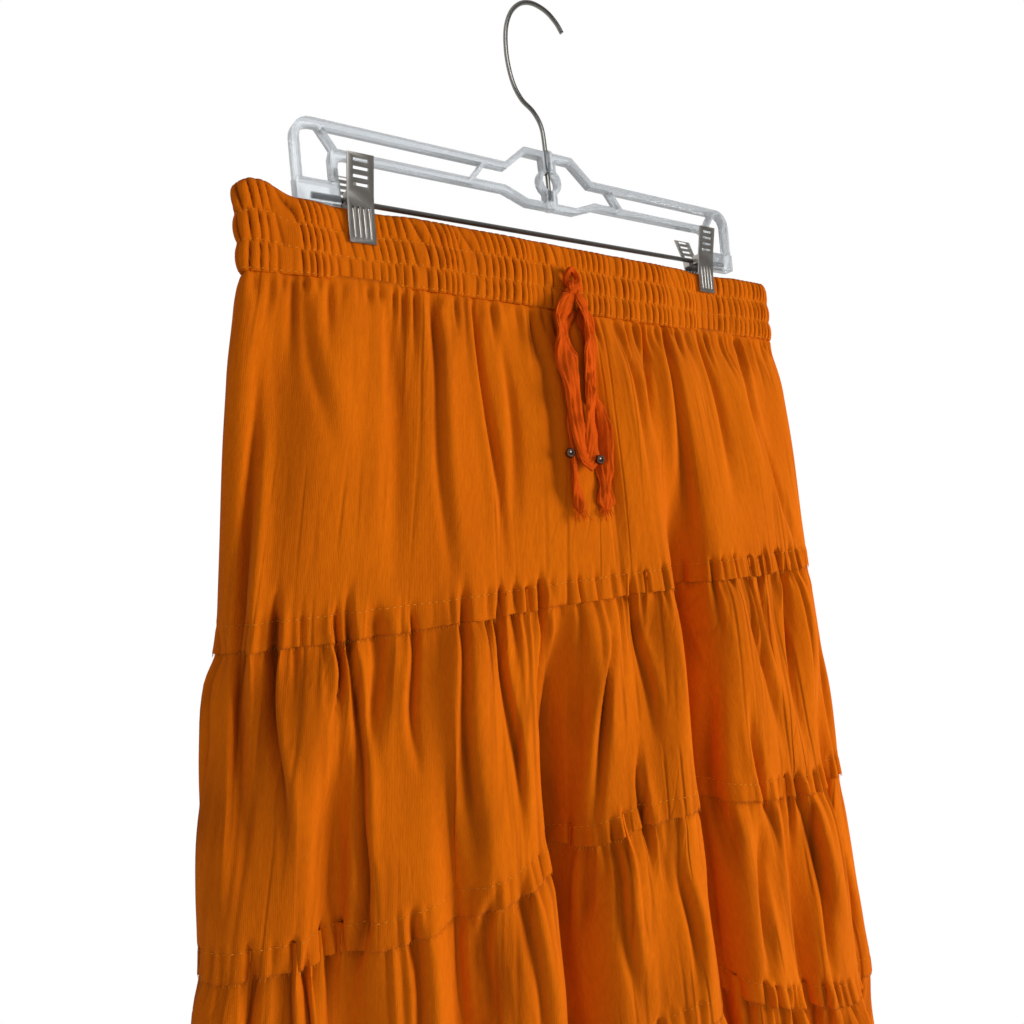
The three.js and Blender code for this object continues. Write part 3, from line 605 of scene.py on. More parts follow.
def clear_plastic_material(colour):
    """Polystyrene, injection moulded and clear: glassy, with soft grey walls and ripples from the mould."""
    values = {"Roughness": 0.12, "IOR": 1.49, "Alpha": 0.74, "Base Color": colour, "Transmission Weight": 0.65}
    material, tree, shader = start_material("clear_moulded_polystyrene", values)
    place = add_node(tree, "TexCoord").outputs["Object"]
    ripple = add_node(tree, "TexNoise", [(place, "Vector")], Scale=per_mm(6), Detail=2.0)
    bump = add_node(tree, "Bump", [(ripple, "Height")], Strength=0.3, Distance=0.3 * MM)
    tree.links.new(bump.outputs[0], shader.inputs["Normal"])
    return material


def dimmed(colour, share):
    return tuple(c * share for c in colour[:3]) + (1.0,)


def metal_material(name, colour, roughness, grain=(0.4, 0.4, 6)):
    """Plated steel, drawn or rolled, or cast brass: a dull shine with fine lines or grain and small cloudy spots."""
    material, tree, shader = start_material(name, {"Metallic": 1.0})
    place = add_node(tree, "TexCoord").outputs["Object"]
    grain_map = add_node(tree, "Mapping", [(place, "Vector")], Scale=tuple(per_mm(g) for g in grain))
    lines = add_node(tree, "TexNoise", [(grain_map, "Vector")], Scale=1.0, Detail=3.0)
    cloud = add_node(tree, "TexNoise", [(place, "Vector")], Scale=per_mm(14), Detail=3.0)
    shade = add_node(tree, "Mix", [(cloud, "Factor")], {6: dimmed(colour, 0.75), 7: colour}, data_type="RGBA")
    spread = add_node(tree, "MapRange", [(lines, "Value")], {"To Min": roughness - 0.08, "To Max": roughness + 0.15})
    bump = add_node(tree, "Bump", [(lines, "Height")], Strength=0.05, Distance=0.05 * MM)
    tree.links.new(shade.outputs[2], shader.inputs["Base Color"])
    tree.links.new(spread.outputs[0], shader.inputs["Roughness"])
    tree.links.new(bump.outputs[0], shader.inputs["Normal"])
    return material


def thread_material(colour):
    """Cotton thread, twisted and dyed with the cloth: matt, with a faint twist."""
    material, tree, shader = start_material("dyed_cotton_thread", {"Roughness": 0.9, "Specular IOR Level": 0.06})
    place = add_node(tree, "TexCoord").outputs["Object"]
    twist = add_node(tree, "TexNoise", [(place, "Vector")], Scale=per_mm(2), Detail=2.0)
    shade = add_node(tree, "Mix", [(twist, "Factor")], {6: dimmed(colour, 0.7), 7: colour}, data_type="RGBA")
    tree.links.new(shade.outputs[2], shader.inputs["Base Color"])
    return material


# Sizes and colours that a user would change


def colour_property(name, description, value):
    return FloatVectorProperty(name=name, description=description, default=linear(value)[:3], size=3, subtype="COLOR")


class SkirtClothSettings(bpy.types.PropertyGroup):
    row_step: FloatProperty(name="Row step", description="Height of a mesh row at a seam, in mm", default=2.3, min=1.0)
    wall: FloatProperty(
        name="Cloth thickness", description="Thickness of the gauze", default=0.7 * MM, unit="LENGTH", precision=5
    )
    gather_relief: FloatProperty(
        name="Gather relief", description="How strongly the fine gathers stand out", default=1.0, subtype="FACTOR"
    )
    valley_shade: FloatProperty(
        name="Valley shade", description="How deep the colour gets in narrow valleys", default=0.8, subtype="FACTOR"
    )
    band_gathers: IntProperty(name="Band gathers", description="Gathers of the waistband on each side", default=78)


class SkirtColourSettings(bpy.types.PropertyGroup):
    cloth: colour_property("Cloth", "Dye of the gauze", 0xD86A08)
    cloth_dark: colour_property("Cloth, thick yarn", "Darker yarns of the gauze", 0xCC6008)
    # Painted shade: the colour that creases and narrow valleys are darkened towards
    cloth_painted_shade: colour_property("Cloth, narrow valleys", "The gauze deep in its gathers", 0x702C04)
    thread: colour_property("Thread", "Stitches and frayed ends", 0xE88A26)
    tie: colour_property("Tie", "Dye of the drawstring", 0xE0560E)
    plastic: colour_property("Hanger plastic", "Tint of the clear plastic", 0x878C90)
    clip: colour_property("Clip steel", "Colour of the clips", 0xB4AFA8)
    wire: colour_property("Wire steel", "Colour of the hook and rod", 0x86847F)
    spring: colour_property("Spring steel", "Colour of the clips' springs", 0x58585A)
    bead: colour_property("Beads", "Colour of the beads", 0x6E6058)


class SkirtViewSettings(bpy.types.PropertyGroup):
    key: FloatProperty(name="Key light", description="Power of the large soft light", default=52, unit="POWER")
    fill: FloatProperty(name="Fill light", description="Power of the second light", default=9, unit="POWER")
    sky: FloatProperty(name="Room light", description="Strength of the light from all round", default=0.28)


def opaque(colour):
    return tuple(colour) + (1.0,)


# The cloth


def valley(away, width, ridge):
    """A soft valley one deep, with a low ridge on one side of it."""
    shoulder = 0.42 * np.exp(-(((away - ridge * 2.1 * width) / (1.5 * width)) ** 2))
    return -np.exp(-((away / width) ** 2)) + shoulder


def crease_out(u, z, length):
    """The creases at the shares u round the cloth and the heights z, and the painted shade along them."""
    out, painted_shade = np.zeros_like(u), np.zeros_like(u)
    creases = [(side, *row) for side, rows in CREASES.items() for row in rows]
    for side, start, end, top, bottom, depth, width, ridge in creases:
        down = (top - z) / (top - bottom)
        place = start + (end - start) * clamp01(down) + 0.004 * np.sin(7 * down + 30 * start)
        centre = place / 2 if side == "front" else 1 - place / 2
        at_seam = min(abs(top - row[0]) for row in PUCKER_ROWS) < 12
        window = smooth_step((down + 0.08) / (0.2 if at_seam else 0.5)) * smooth_step((1 - down) / 0.55)
        away = (u - centre) * length
        wide = width * (0.8 + 0.5 * clamp01(down))
        out += depth * window * valley(away, wide, ridge)
        # Painted shade along the middle of each sharp, deep crease
        sharp = clamp01(depth / 6) * clamp01(1.4 - width / 5)
        painted_shade += sharp * window * np.exp(-((away / (0.5 * wide)) ** 2))
    return out, painted_shade


def pucker_out(u, z, length):
    """The puckers at each row of gathering stitches, which fade out unevenly below it and soon above it."""
    out, painted_shade = np.zeros_like(u), np.zeros_like(u)
    for k, (row, spacing, depth, width, shortest, longest) in enumerate(PUCKER_ROWS):
        rng = np.random.default_rng(300 + k)
        count = int(round(length / spacing))
        crowded = clamp01(0.55 + 0.75 * uneven(np.arange(count) / count, 17, 400 + k))
        for n in range(count):
            place = (n + rng.uniform(-0.42, 0.42)) / count
            deep = depth * rng.uniform(0.25, 1.35) * (1 if k == 0 else 0.2 + 0.95 * crowded[n])
            wide = width * rng.uniform(0.7, 1.5)
            reach = shortest + (longest - shortest) * rng.uniform() ** 1.4
            rise = rng.uniform(2, 9)
            lean = rng.uniform(-0.05, 0.05)
            ridge = rng.choice([-1, 1])
            down = row - z
            window = smooth_step((down + rise) / rise) * smooth_step((reach - down) / (0.8 * reach))
            if k == 0:
                window *= 0.4 + 0.6 * smooth_step(down / 5)
            away = (u - place + 0.5) % 1 - 0.5
            away = away * length - lean * down
            wide = wide * (1 + np.maximum(down, 0) / 160)
            out += deep * window * valley(away, wide, ridge)
            # Painted shade along the middle of each pucker, weaker above its row of stitches
            shade = clamp01(deep / 3.5) * (0.4 + 0.6 * smooth_step((down + 4) / 6))
            painted_shade += shade * window * np.exp(-((away / (0.5 * wide)) ** 2))
    return out, painted_shade


def fine_gathers(number, u, down, length, relief):
    """Small gathers that start below the seam, each with its own length, and merge into wider ones."""
    out = np.zeros_like(u)
    for k, (spacing, height, shortest, longest) in enumerate(GATHER_LAYERS):
        seed = 100 * number + 10 * k
        count = int(round(length / spacing))
        reach = shortest + (longest - shortest) * clamp01(0.5 + 0.5 * uneven(u, max(count // 2, 3), seed + 1)) ** 1.5
        wander = 0.35 / count * uneven(u + 0.3, count // 3, seed + 2) * clamp01(down / longest)
        wave = uneven(u + wander, count, seed)
        grown = smooth_step(down / (2 + spacing / 2))
        out += relief * height * wave * grown * np.exp(-((np.maximum(down, 0) / reach) ** 2))
    return out


def row_heights(top, edge, step):
    """Heights of a tier's rows, close together near its seams and wider apart between."""
    heights = [top]
    while heights[-1] > edge:
        near = min(top - heights[-1], heights[-1] - edge)
        heights.append(heights[-1] - step * (1 + 1.7 * float(smooth_step((near - 14) / 18))))
    heights = np.array(heights)
    return top + (heights - top) * (edge - top) / (heights[-1] - top)


def tier_grid(number, settings):
    """Rows and columns of one tier's face from its hidden top edge to its frayed lower one, in millimetres."""
    tier = TIERS[number - 1]
    above = TIERS[number - 2] if number > 1 else None
    top = above["edge"] + FLAP if above else BAND_BOTTOM_Z + UNDER_BAND
    seam_below = tier["edge"] + FLAP
    heights = row_heights(top, tier["edge"], settings.row_step)
    u = np.arange(tier["columns"]) / tier["columns"]
    grid = np.array([cloth_row(u, z) for z in heights])
    if above is None:
        waist = BAND_BOTTOM_TILT * np.cos(2 * np.pi * u)
        grid[..., 2] += waist * (1 - smooth_step((top - heights) / WAIST_TILT_REACH))[:, None]
    round_length = float(ring(seam_below)[2][-1])
    uu = np.broadcast_to(u, grid.shape[:2])
    zz = np.broadcast_to(heights[:, None], grid.shape[:2])
    down = top - zz
    shown = down - (FLAP if above else UNDER_BAND)
    out = fine_gathers(number, uu, shown, round_length, settings.gather_relief)
    if number < len(TIERS):
        # Only the puckers cross a seam, so that both layers there follow one form
        out *= smooth_step((zz - seam_below - 1) / 22)
    creases, crease_painted_shade = crease_out(uu, zz, round_length)
    puckers, pucker_painted_shade = pucker_out(uu, zz, round_length)
    # Painted shade along the creases and puckers
    painted_shade = settings.valley_shade * clamp01(crease_painted_shade + pucker_painted_shade)
    out = out + settings.gather_relief * (creases + puckers)
    grid = grid + grid_normals(grid) * out[..., None]
    # The second step is along the folded cloth's own normals, so that one layer stays parallel to the other
    out = np.zeros_like(uu)
    if above is not None:
        # The top lies just under the flap above, and comes out below it
        tucked = UNDER_FLAP + (FLAP_STEP - UNDER_FLAP) * clamp01(down / FLAP)
        out -= tucked * (1 - smooth_step(shown / GATHER_START))
    else:
        out -= 1.1 * (1 - smooth_step((shown + UNDER_BAND / 2) / UNDER_BAND))
    if number < len(TIERS):
        # The stitches draw the cloth in, and the flap below them ripples
        to_seam = zz - seam_below
        below = clamp01(-to_seam / FLAP)
        count = int(round_length / 9)
        ripple = 0.2 + 0.3 * uneven(uu, count, 950 + number) + 0.6 * uneven(uu, count // 5, 960 + number)
        out += below * np.maximum(ripple, 0)
        out -= 0.35 * np.exp(-((to_seam / 1.6) ** 2))
    grid = grid + grid_normals(grid) * out[..., None]
    ragged = 0.5 * uneven(uu, int(round_length / 2.5), 970 + number) + uneven(uu, int(round_length / 21), 980 + number)
    grid[..., 2] += 0.7 * ragged * smooth_step((tier["edge"] + 6 - zz) / 6)
    return grid, uu * round_length, -zz, heights, painted_shade


def cloth_tube(name, grid, across, down, painted_shade, wall):
    """A tube of cloth from its face, with its thickness inwards and its painted shade as an attribute."""
    rows, columns = grid.shape[:2]
    # The UV map has a closing column of its own, so that it doesn't run back across the last faces
    step = across[0, 1] - across[0, 0]
    u = np.concatenate([across, across[:, -1:] + step], axis=1)
    v = np.concatenate([down, down[:, :1]], axis=1)
    mesh = bpy.data.meshes.new(name)
    mesh.from_pydata((grid.reshape(-1, 3) * MM).tolist(), [], tube_faces(rows, columns).tolist())
    r, c = np.meshgrid(np.arange(rows - 1), np.arange(columns), indexing="ij")
    corners = [(r, c), (r + 1, c), (r + 1, c + 1), (r, c + 1)]
    pairs = np.stack([np.stack([u[a, b], v[a, b]], axis=-1) for a, b in corners], axis=2)
    layer = mesh.uv_layers.new(name="cloth")
    layer.data.foreach_set("uv", (pairs * MM).astype(np.float32).ravel())
    # The painted shade of creases and valleys, one value on each point
    shade = mesh.attributes.new("painted_shade", "FLOAT", "POINT")
    shade.data.foreach_set("value", painted_shade.astype(np.float32).ravel())
    obj = link_smooth(mesh)
    apply_modifier(obj, "SOLIDIFY", thickness=wall, offset=-1.0, use_even_offset=False)
    return obj


def band_gathers(u, per_side, seed, shift):
    """Rounded gathers of the waistband with narrow valleys, uneven in spacing, and their uneven height."""
    count = 2 * per_side
    phase = count * u + 0.7 * uneven(u, count // 2, seed) + 0.5 * uneven(u, count // 9, seed + 5) + shift
    wave = np.abs(np.sin(np.pi * phase)) ** 0.36
    return wave, 0.78 + 0.37 * uneven(u, count // 2, seed + 1)


def band_grid(settings):
    """The waistband's face, row by row from its top, with its place along and down the cloth and the painted shade in
    its valleys.
    """
    u = np.arange(BAND_COLUMNS) / BAND_COLUMNS
    waist = SECTIONS[0]
    face = cloth_row(u, BAND_BOTTOM_Z)
    tilt = np.cos(2 * np.pi * u)
    rise = BAND_LEFT_RISE * smooth_step((BAND_RISE_FROM_X - face[:, 0]) / BAND_RISE_REACH)
    to_end = waist[1] - np.abs(face[:, 0] - waist[4])
    drop = BAND_CORNER_DROP * (1 - smooth_step(to_end / BAND_CORNER_REACH))
    top = BAND_TOP_Z + BAND_TOP_TILT * tilt + rise - drop
    bottom = BAND_BOTTOM_Z + BAND_BOTTOM_TILT * tilt
    from_clip = np.abs(np.abs(face[:, 0]) - CLIP_X) - CLIP_PINCH_HALF
    near_clip = 1 - smooth_step(from_clip / CLIP_PINCH_FADE)
    under_clip = 1 - smooth_step(from_clip / 6)
    grid, out, painted_shade = [], [], []
    for down in np.linspace(0, 1, BAND_ROWS):
        row = face.copy()
        row[:, 2] = top + (bottom - top) * down
        pinched = near_clip * (1 - 0.3 * down)
        row[:, 1] -= np.sign(row[:, 1]) * CLIP_PINCH * pinched * clamp01(np.abs(row[:, 1]) / 4)
        grid.append(row)
        channel = min(int(down * 3), 2)
        within = 3 * down - channel
        puffed = abs(math.sin(3 * math.pi * down)) ** 0.6
        slant = CHANNEL_SLANTS[channel] * (0.6 + 0.6 * uneven(u, 22, 70 + channel)) * (within - 0.5)
        wave, height = band_gathers(u, settings.band_gathers, 40, 0.25 * channel - slant)
        relief = (1.2 + 1.6 * puffed) * wave * height + 0.4 * puffed
        out.append((relief - 1.2) * (1 - 0.6 * under_clip))
        # Painted shade in the narrow valleys between the gathers, stronger on the puffed middles of the channels
        painted_shade.append(clamp01(settings.valley_shade * clamp01(1.7 - wave / 0.48) * (0.75 + 0.5 * puffed) * height))
    grid = np.array(grid)
    out = np.array(out)
    out[0] -= 0.9
    out[1] -= 0.3
    normal = grid_normals(grid)
    grid = grid + normal * out[..., None]
    length = float(ring(BAND_BOTTOM_Z)[2][-1])
    uu = np.broadcast_to(u * length, grid.shape[:2])
    vv = np.broadcast_to(np.linspace(0, BAND_TOP_Z - BAND_BOTTOM_Z, BAND_ROWS)[:, None], grid.shape[:2])
    return grid, uu, vv, np.array(painted_shade)


def dashes(name, line, normal, pitch, length, width, height):
    """Stitches along a closed line of points, each a small rounded bar on the cloth."""
    total, place = along_line(line, normal)
    vertices, faces = [], []
    for k in range(int(total / pitch)):
        ends = [place(d) for d in (k * pitch, k * pitch + length / 2, k * pitch + length)]
        run = ends[2][0] - ends[0][0]
        run = run / np.linalg.norm(run)
        base = len(vertices)
        for (p, n), lift in zip(ends, (0.0, 1.0, 0.0)):
            n = n / np.linalg.norm(n)
            side = np.cross(n, run)
            up = height * (0.35 + 0.65 * lift)
            vertices += [p - side * width / 2 - n * 0.1, p + n * up, p + side * width / 2 - n * 0.1]
        for a in (base, base + 3):
            faces += [(a, a + 3, a + 4, a + 1), (a + 1, a + 4, a + 5, a + 2), (a + 2, a + 5, a + 3, a)]
        faces += [(base, base + 1, base + 2), (base + 8, base + 7, base + 6)]
    return new_object(name, vertices, faces)


def fringe(name, line, normal, pitch, shortest, longest, seed):
    """Loose thread ends along a raw edge, hanging down."""
    rng = np.random.default_rng(seed)
    total, place = along_line(line, normal)
    radius = 0.16
    vertices, faces = [], []
    for k in range(int(total / pitch)):
        p, n = place((k + rng.uniform(-0.4, 0.4)) * pitch)
        long = rng.uniform(shortest, longest) * (1.6 if rng.uniform() < 0.06 else 1)
        lean = rng.uniform(-0.5, 0.5, 2)
        side = np.cross(n, [0, 0, -1.0])
        base = len(vertices)
        for share, thick in ((-0.25, 1.0), (0.5, 0.9), (1.0, 0.35)):
            middle = p - n * 0.25 + np.array([0, 0, -long * share])
            middle = middle + (side * lean[0] + n * lean[1] * 0.5) * long * max(share, 0) ** 2
            for angle in (0.0, 2.1, 4.2):
                vertices.append(middle + thick * radius * (math.cos(angle) * side + math.sin(angle) * n))
        for a in (base, base + 3):
            faces += [(a + i, a + (i + 1) % 3, a + 3 + (i + 1) % 3, a + 3 + i) for i in range(3)]
        faces += [(base + 2, base + 1, base), (base + 6, base + 7, base + 8)]
    return edit_all(new_object(name, vertices, faces))


# Strips and wires along a route


def smooth_route(points, steps):
    """Points on a smooth curve through the given ones, evenly spaced."""
    p = np.array(points, dtype=float)
    padded = np.concatenate([[2 * p[0] - p[1]], p, [2 * p[-1] - p[-2]]])
    dense = []
    for i in range(1, len(padded) - 2):
        dense += [between(*padded[i - 1 : i + 3], t) for t in np.linspace(0, 1, 24, endpoint=False)]
    dense = np.array(dense + [p[-1]])
    at = np.concatenate([[0], np.cumsum(np.linalg.norm(np.diff(dense, axis=0), axis=1))])
    places = np.linspace(0, at[-1], steps)
    return np.stack([np.interp(places, at, dense[:, i]) for i in range(3)], axis=-1)


def sweep(name, route, width, thickness, sides, crumple=0.0, seed=0, taper=0.0):
    """A closed tube of an oval section along a route, its flat side to the front, crumpled like a gauze strip."""
    rng = np.random.default_rng(seed)
    tangent = np.gradient(route, axis=0)
    tangent /= np.linalg.norm(tangent, axis=1, keepdims=True)
    across = np.cross(tangent, [0, -1.0, 0])
    across /= np.linalg.norm(across, axis=1, keepdims=True)
    out = np.cross(across, tangent)
    n = len(route)
    share = np.linspace(0, 1, n)
    angle = np.linspace(0, 2 * np.pi, sides, endpoint=False)
    length = path_length(route)
    waves = int(max(length / 9, 4))
    slack = 1 + crumple * 1.4 * uneven(share * 0.98, waves, seed + 1)
    roll = crumple * 3.2 * uneven(share * 0.98, max(waves // 2, 3), seed + 2)
    rows = []
    phases = rng.uniform(0, 2 * np.pi, 4)
    drifts = [2.6 * uneven(share * 0.98, waves, seed + 3 + k) for k in range(4)]
    fullness = 0.75 + 0.5 * uneven(share * 0.98, 2 * waves, seed + 8)
    for i in range(n):
        ridges = 0
        if crumple:
            ridges = crumple * fullness[i] * sum(
                height * np.sin(count * angle + phase + drift[i])
                for height, count, phase, drift in zip((1.1, 0.9, 0.8, 0.5), (9, 14, 5, 21), phases, drifts)
            )
        w = width / 2 * slack[i] * (1 + 0.25 * ridges)
        t = thickness / 2 * (1.15 - 0.15 * slack[i]) * (1 + 1.6 * ridges)
        end = min(share[i], 1 - share[i]) * length
        narrow = 1 - taper * (1 - float(smooth_step(end / (width / 2))))
        a, b = w * np.cos(angle) * narrow, t * np.sin(angle) * narrow
        cr, sr = math.cos(roll[i]), math.sin(roll[i])
        rows.append(route[i] + (a * cr - b * sr)[:, None] * across[i] + (a * sr + b * cr)[:, None] * out[i])
    vertices = np.concatenate(rows + [route[:1], route[-1:]])
    faces = tube_faces(n, sides).tolist()
    first, last = len(vertices) - 2, len(vertices) - 1
    for k in range(sides):
        faces.append((first, k, (k + 1) % sides))
        faces.append((last, (n - 1) * sides + (k + 1) % sides, (n - 1) * sides + k))
    around = np.tile(angle / (2 * np.pi) * 2 * (width + thickness), n)
    along = np.repeat(share * length, sides)
    uvs = np.stack([np.append(around, [0, 0]), np.append(along, [0, length])], axis=-1)
    return edit_all(new_object(name, vertices, faces, uvs))


def bent_wire(name, route, diameter):
    """A round wire with closed ends along a route in millimetres."""
    deselect()
    bpy.ops.curve.primitive_nurbs_path_add(location=(0, 0, 0))
    wire = bpy.context.object
    wire.name = name
    curve = wire.data
    curve.splines.clear()
    spline = curve.splines.new("POLY")
    spline.points.add(len(route) - 1)
    for point, place in zip(spline.points, route):
        point.co = (place[0] * MM, place[1] * MM, place[2] * MM, 1)
    curve.bevel_depth = diameter / 2 * MM
    curve.bevel_resolution = 4
    curve.use_fill_caps = True
    make_active(wire)
    bpy.ops.object.convert(target="MESH")
    wire = edit_all(bpy.context.object, merge=0.005)
    smooth_by_angle(wire, 50)
    return wire


def loose_ends(name, route, width, count, shortest, longest, seed):
    """Loose yarns that fan out past the far end of a strip's route."""
    rng = np.random.default_rng(seed)
    end = route[-1]
    onward = route[-1] - route[-6]
    onward = onward / np.linalg.norm(onward)
    side = np.cross(onward, [0, 1.0, 0])
    yarns = []
    for k in range(count):
        across = (k + 0.5) / count - 0.5 + rng.uniform(-0.05, 0.05)
        long = rng.uniform(shortest, longest)
        start = end - onward * 2.5 + side * across * width * 0.8
        lean = across * 0.9 + rng.uniform(-0.3, 0.3)
        bend = side * lean + np.array([0, rng.uniform(-0.2, 0.2), 0])
        curve = [start + onward * t * long + bend * long * t * t for t in (0, 0.5, 1)]
        yarns.append(sweep(f"yarn_{seed}_{k}", smooth_route(curve, 7), 0.55, 0.5, 6, 0, k, 0.5))
    return join(yarns, name)


def tie_point(x, z, off):
    """A point in front of the cloth at x and z."""
    return (x, front_y(x, min(z, BAND_BOTTOM_Z)) - off, z)


# Operators


class SKIRT_OT_stage(bpy.types.Operator):
    """Adds the camera at the viewing angle, the pale floor and the soft studio light"""

    bl_idname = "skirt.stage"
    bl_label = "Stage"

    def execute(self, context):
        settings = context.scene.skirt_view
        bpy.ops.object.camera_add(location=CAMERA_PLACE)
        camera = context.object
        camera.name = "camera"
        turn = Matrix((CAMERA_RIGHT, CAMERA_UP, CAMERA_BACK)).transposed()
        camera.matrix_world = Matrix.Translation(CAMERA_PLACE) @ turn.to_4x4()
        camera.data.sensor_width = 36
        camera.data.lens = CAMERA_LENS
        camera.data.clip_start = 0.01
        camera.data.clip_end = 60
        context.scene.camera = camera

        place = (0, 0, FLOOR_Z)
        bpy.ops.mesh.primitive_circle_add(vertices=96, radius=FLOOR_RADIUS, fill_type="NGON", location=place)
        floor = context.object
        floor.name = "floor"
        # Paint, rolled on and matt, with a faint grain
        values = {"Roughness": 0.9, "Base Color": linear(0xF4F4F2)}
        material, tree, shader = start_material("matt_painted_floor", values)
        place = add_node(tree, "TexCoord").outputs["Object"]
        grain = add_node(tree, "TexNoise", [(place, "Vector")], Scale=per_mm(30), Detail=3.0)
        bump = add_node(tree, "Bump", [(grain, "Height")], Strength=0.1, Distance=1 * MM)
        tree.links.new(bump.outputs[0], shader.inputs["Normal"])
        floor.data.materials.append(material)

        lights = [
            ("key_light", (1.75, -1.5, -0.4), settings.key, 1.1),
            ("fill_light", (-1.6, -1.7, -0.4), settings.fill, 1.6),
            ("back_light", (0.4, 1.8, 0.6), settings.key * 0.4, 1.6),
        ]
        for name, where, power, size in lights:
            bpy.ops.object.light_add(type="AREA", location=where)
            light = context.object
            light.name = name
            light.data.energy = power
            light.data.size = size
            light.rotation_euler = (Vector(LIGHT_AIM) - Vector(where)).to_track_quat("-Z", "Y").to_euler()
            light.visible_glossy = False

        world = bpy.data.worlds.new("studio")
        context.scene.world = world
        world.use_nodes = True
        tree = world.node_tree
        background = tree.nodes["Background"]
        background.inputs["Color"].default_value = (1, 1, 1, 1)
        # Metal mirrors a room that is darker on the side of the camera, and the cloth is lit mostly by the lamps
        path = add_node(tree, "LightPath").outputs
        direction = add_node(tree, "TexCoord").outputs["Generated"]
        toward = add_node(tree, "SeparateXYZ", [(direction, "Vector")]).outputs["Y"]
        room = add_node(tree, "MapRange", [(toward, "Value")], {"From Min": -0.75, "From Max": 0.35, "To Min": 0.18})
        window_way = {1: Vector(WINDOW_DIRECTION).normalized()}
        window = add_node(tree, "VectorMath", [(direction, 0)], window_way, operation="DOT_PRODUCT").outputs["Value"]
        pane = add_node(tree, "MapRange", [(window, "Value")], {"From Min": 0.93, "From Max": 0.96, "To Max": 6.0})
        bright = add_node(tree, "Math", [(room, 0), (pane, 1)], operation="MAXIMUM")
        mirrored = add_node(tree, "Mix", [(path["Is Glossy Ray"], 0), (bright, 3)], {2: 1.0}, data_type="FLOAT")
        links = [(path["Is Diffuse Ray"], 0), (mirrored, 2)]
        strength = add_node(tree, "Mix", links, {3: settings.sky}, data_type="FLOAT")
        tree.links.new(strength.outputs[0], background.inputs["Strength"])
        context.scene.view_settings.view_transform = "Standard"
        return {"FINISHED"}


class SKIRT_OT_materials(bpy.types.Operator):
    """Makes the materials of the cloth, thread, plastic and metal"""

    bl_idname = "skirt.materials"
    bl_label = "Materials"

    def execute(self, context):
        c = context.scene.skirt_colours
        # The painted shade colour of creases and valleys, for the cloth and the tie
        deep = opaque(c.cloth_painted_shade)
        materials["cloth"] = gauze_material("woven_cotton_gauze", opaque(c.cloth), opaque(c.cloth_dark), deep)
        materials["tie"] = gauze_material("crinkled_cotton_gauze", opaque(c.tie), dimmed(c.tie, 0.72), deep, 0.7, 1.8)
        materials["thread"] = thread_material(opaque(c.thread))
        materials["plastic"] = clear_plastic_material(opaque(c.plastic))
        materials["wire"] = metal_material("drawn_plated_steel_wire", opaque(c.wire), 0.32)
        materials["clip"] = metal_material("pressed_plated_steel_sheet", opaque(c.clip), 0.34)
        materials["spring"] = metal_material("oiled_spring_steel", opaque(c.spring), 0.4)
        materials["bead"] = metal_material("darkened_cast_brass", opaque(c.bead), 0.12, grain=(2, 2, 2))
        return {"FINISHED"}


class SKIRT_OT_drawstring(bpy.types.Operator):
    """Adds the knotted tie with its loop, two tails and beads"""

    bl_idname = "skirt.drawstring"
    bl_label = "Drawstring"

    def execute(self, context):
        knot_y = front_y(KNOT["x"], BAND_BOTTOM_Z) - KNOT["off"] - CLEARANCE - KNOT["depth"] / 2
        knot_at = np.array([KNOT["x"], knot_y, KNOT["z"]])
        # The knot: a crumpled core, an open ear above it and a turn of the strip over it
        half = KNOT["height"] / 2
        core = knot_at + np.array([[0.3, 0, 2], [-0.4, 0, -2], [0.3, 0, -6], [0.2, 0, -1 - half]])
        angle = np.linspace(0, 2 * np.pi, 34)
        ear = knot_at + np.stack([4.6 * np.cos(angle), 1.2 * np.sin(2 * angle), 4.4 + 5 * np.sin(angle)], axis=-1)
        wrap = knot_at + np.stack([6.2 * np.cos(angle), -3 * np.sin(angle), -3.6 + 2.4 * np.cos(angle)], axis=-1)
        turns = [
            sweep("tie_knot_core", smooth_route(core, 24), 12, 5.4, 56, 0.24, 11, 0.5),
            sweep("tie_knot_ear", ear, 4.6, 3.4, 40, 0.22, 21),
            sweep("tie_knot_wrap", wrap, 5.2, 1.8, 40, 0.2, 22),
        ]
        knot = finish_piece(join(turns, "knotted_gauze"), "tie", "tie_knot")
        beads = {}
        for name, row in BEADS.items():
            deselect()
            place = tuple(v * MM for v in tie_point(*row))
            bpy.ops.mesh.primitive_uv_sphere_add(location=place, segments=32, ring_count=20, radius=BEAD_RADIUS * MM)
            bead = context.object
            bead.name = name.replace("tie_bead", "brass_bead")
            bpy.ops.object.transform_apply(location=True, rotation=True, scale=True)
            bpy.ops.object.shade_smooth()
            beads[name] = finish_piece(bead, "bead", name)
        plans = {
            "tie_loop": ("gauze_loop", "object", "loose", [knot]),
            "tie_tail_left": ("gauze_tail_left", "bare", "hanging", [beads["tie_bead_left"]]),
            "tie_tail_right": ("gauze_tail_right", "bare", "hanging", [beads["tie_bead_right"]]),
        }
        for seed, (node, (name, end, lay, ends)) in enumerate(plans.items()):
            route = smooth_route([tie_point(*row) for row in TIE_ROUTES[node]], 80)
            strip = sweep(name, route, TIE_WIDTH, TIE_THICKNESS, 46, 0.24, 31 + seed, 0.75)
            finish_piece(strip, "tie", node)
            if end == "bare":
                frayed = loose_ends(name + "_frayed_end", route, TIE_WIDTH, 11, 4, 9, 41 + seed)
                ends.append(finish_piece(frayed, "tie"))
            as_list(ends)
        return {"FINISHED"}


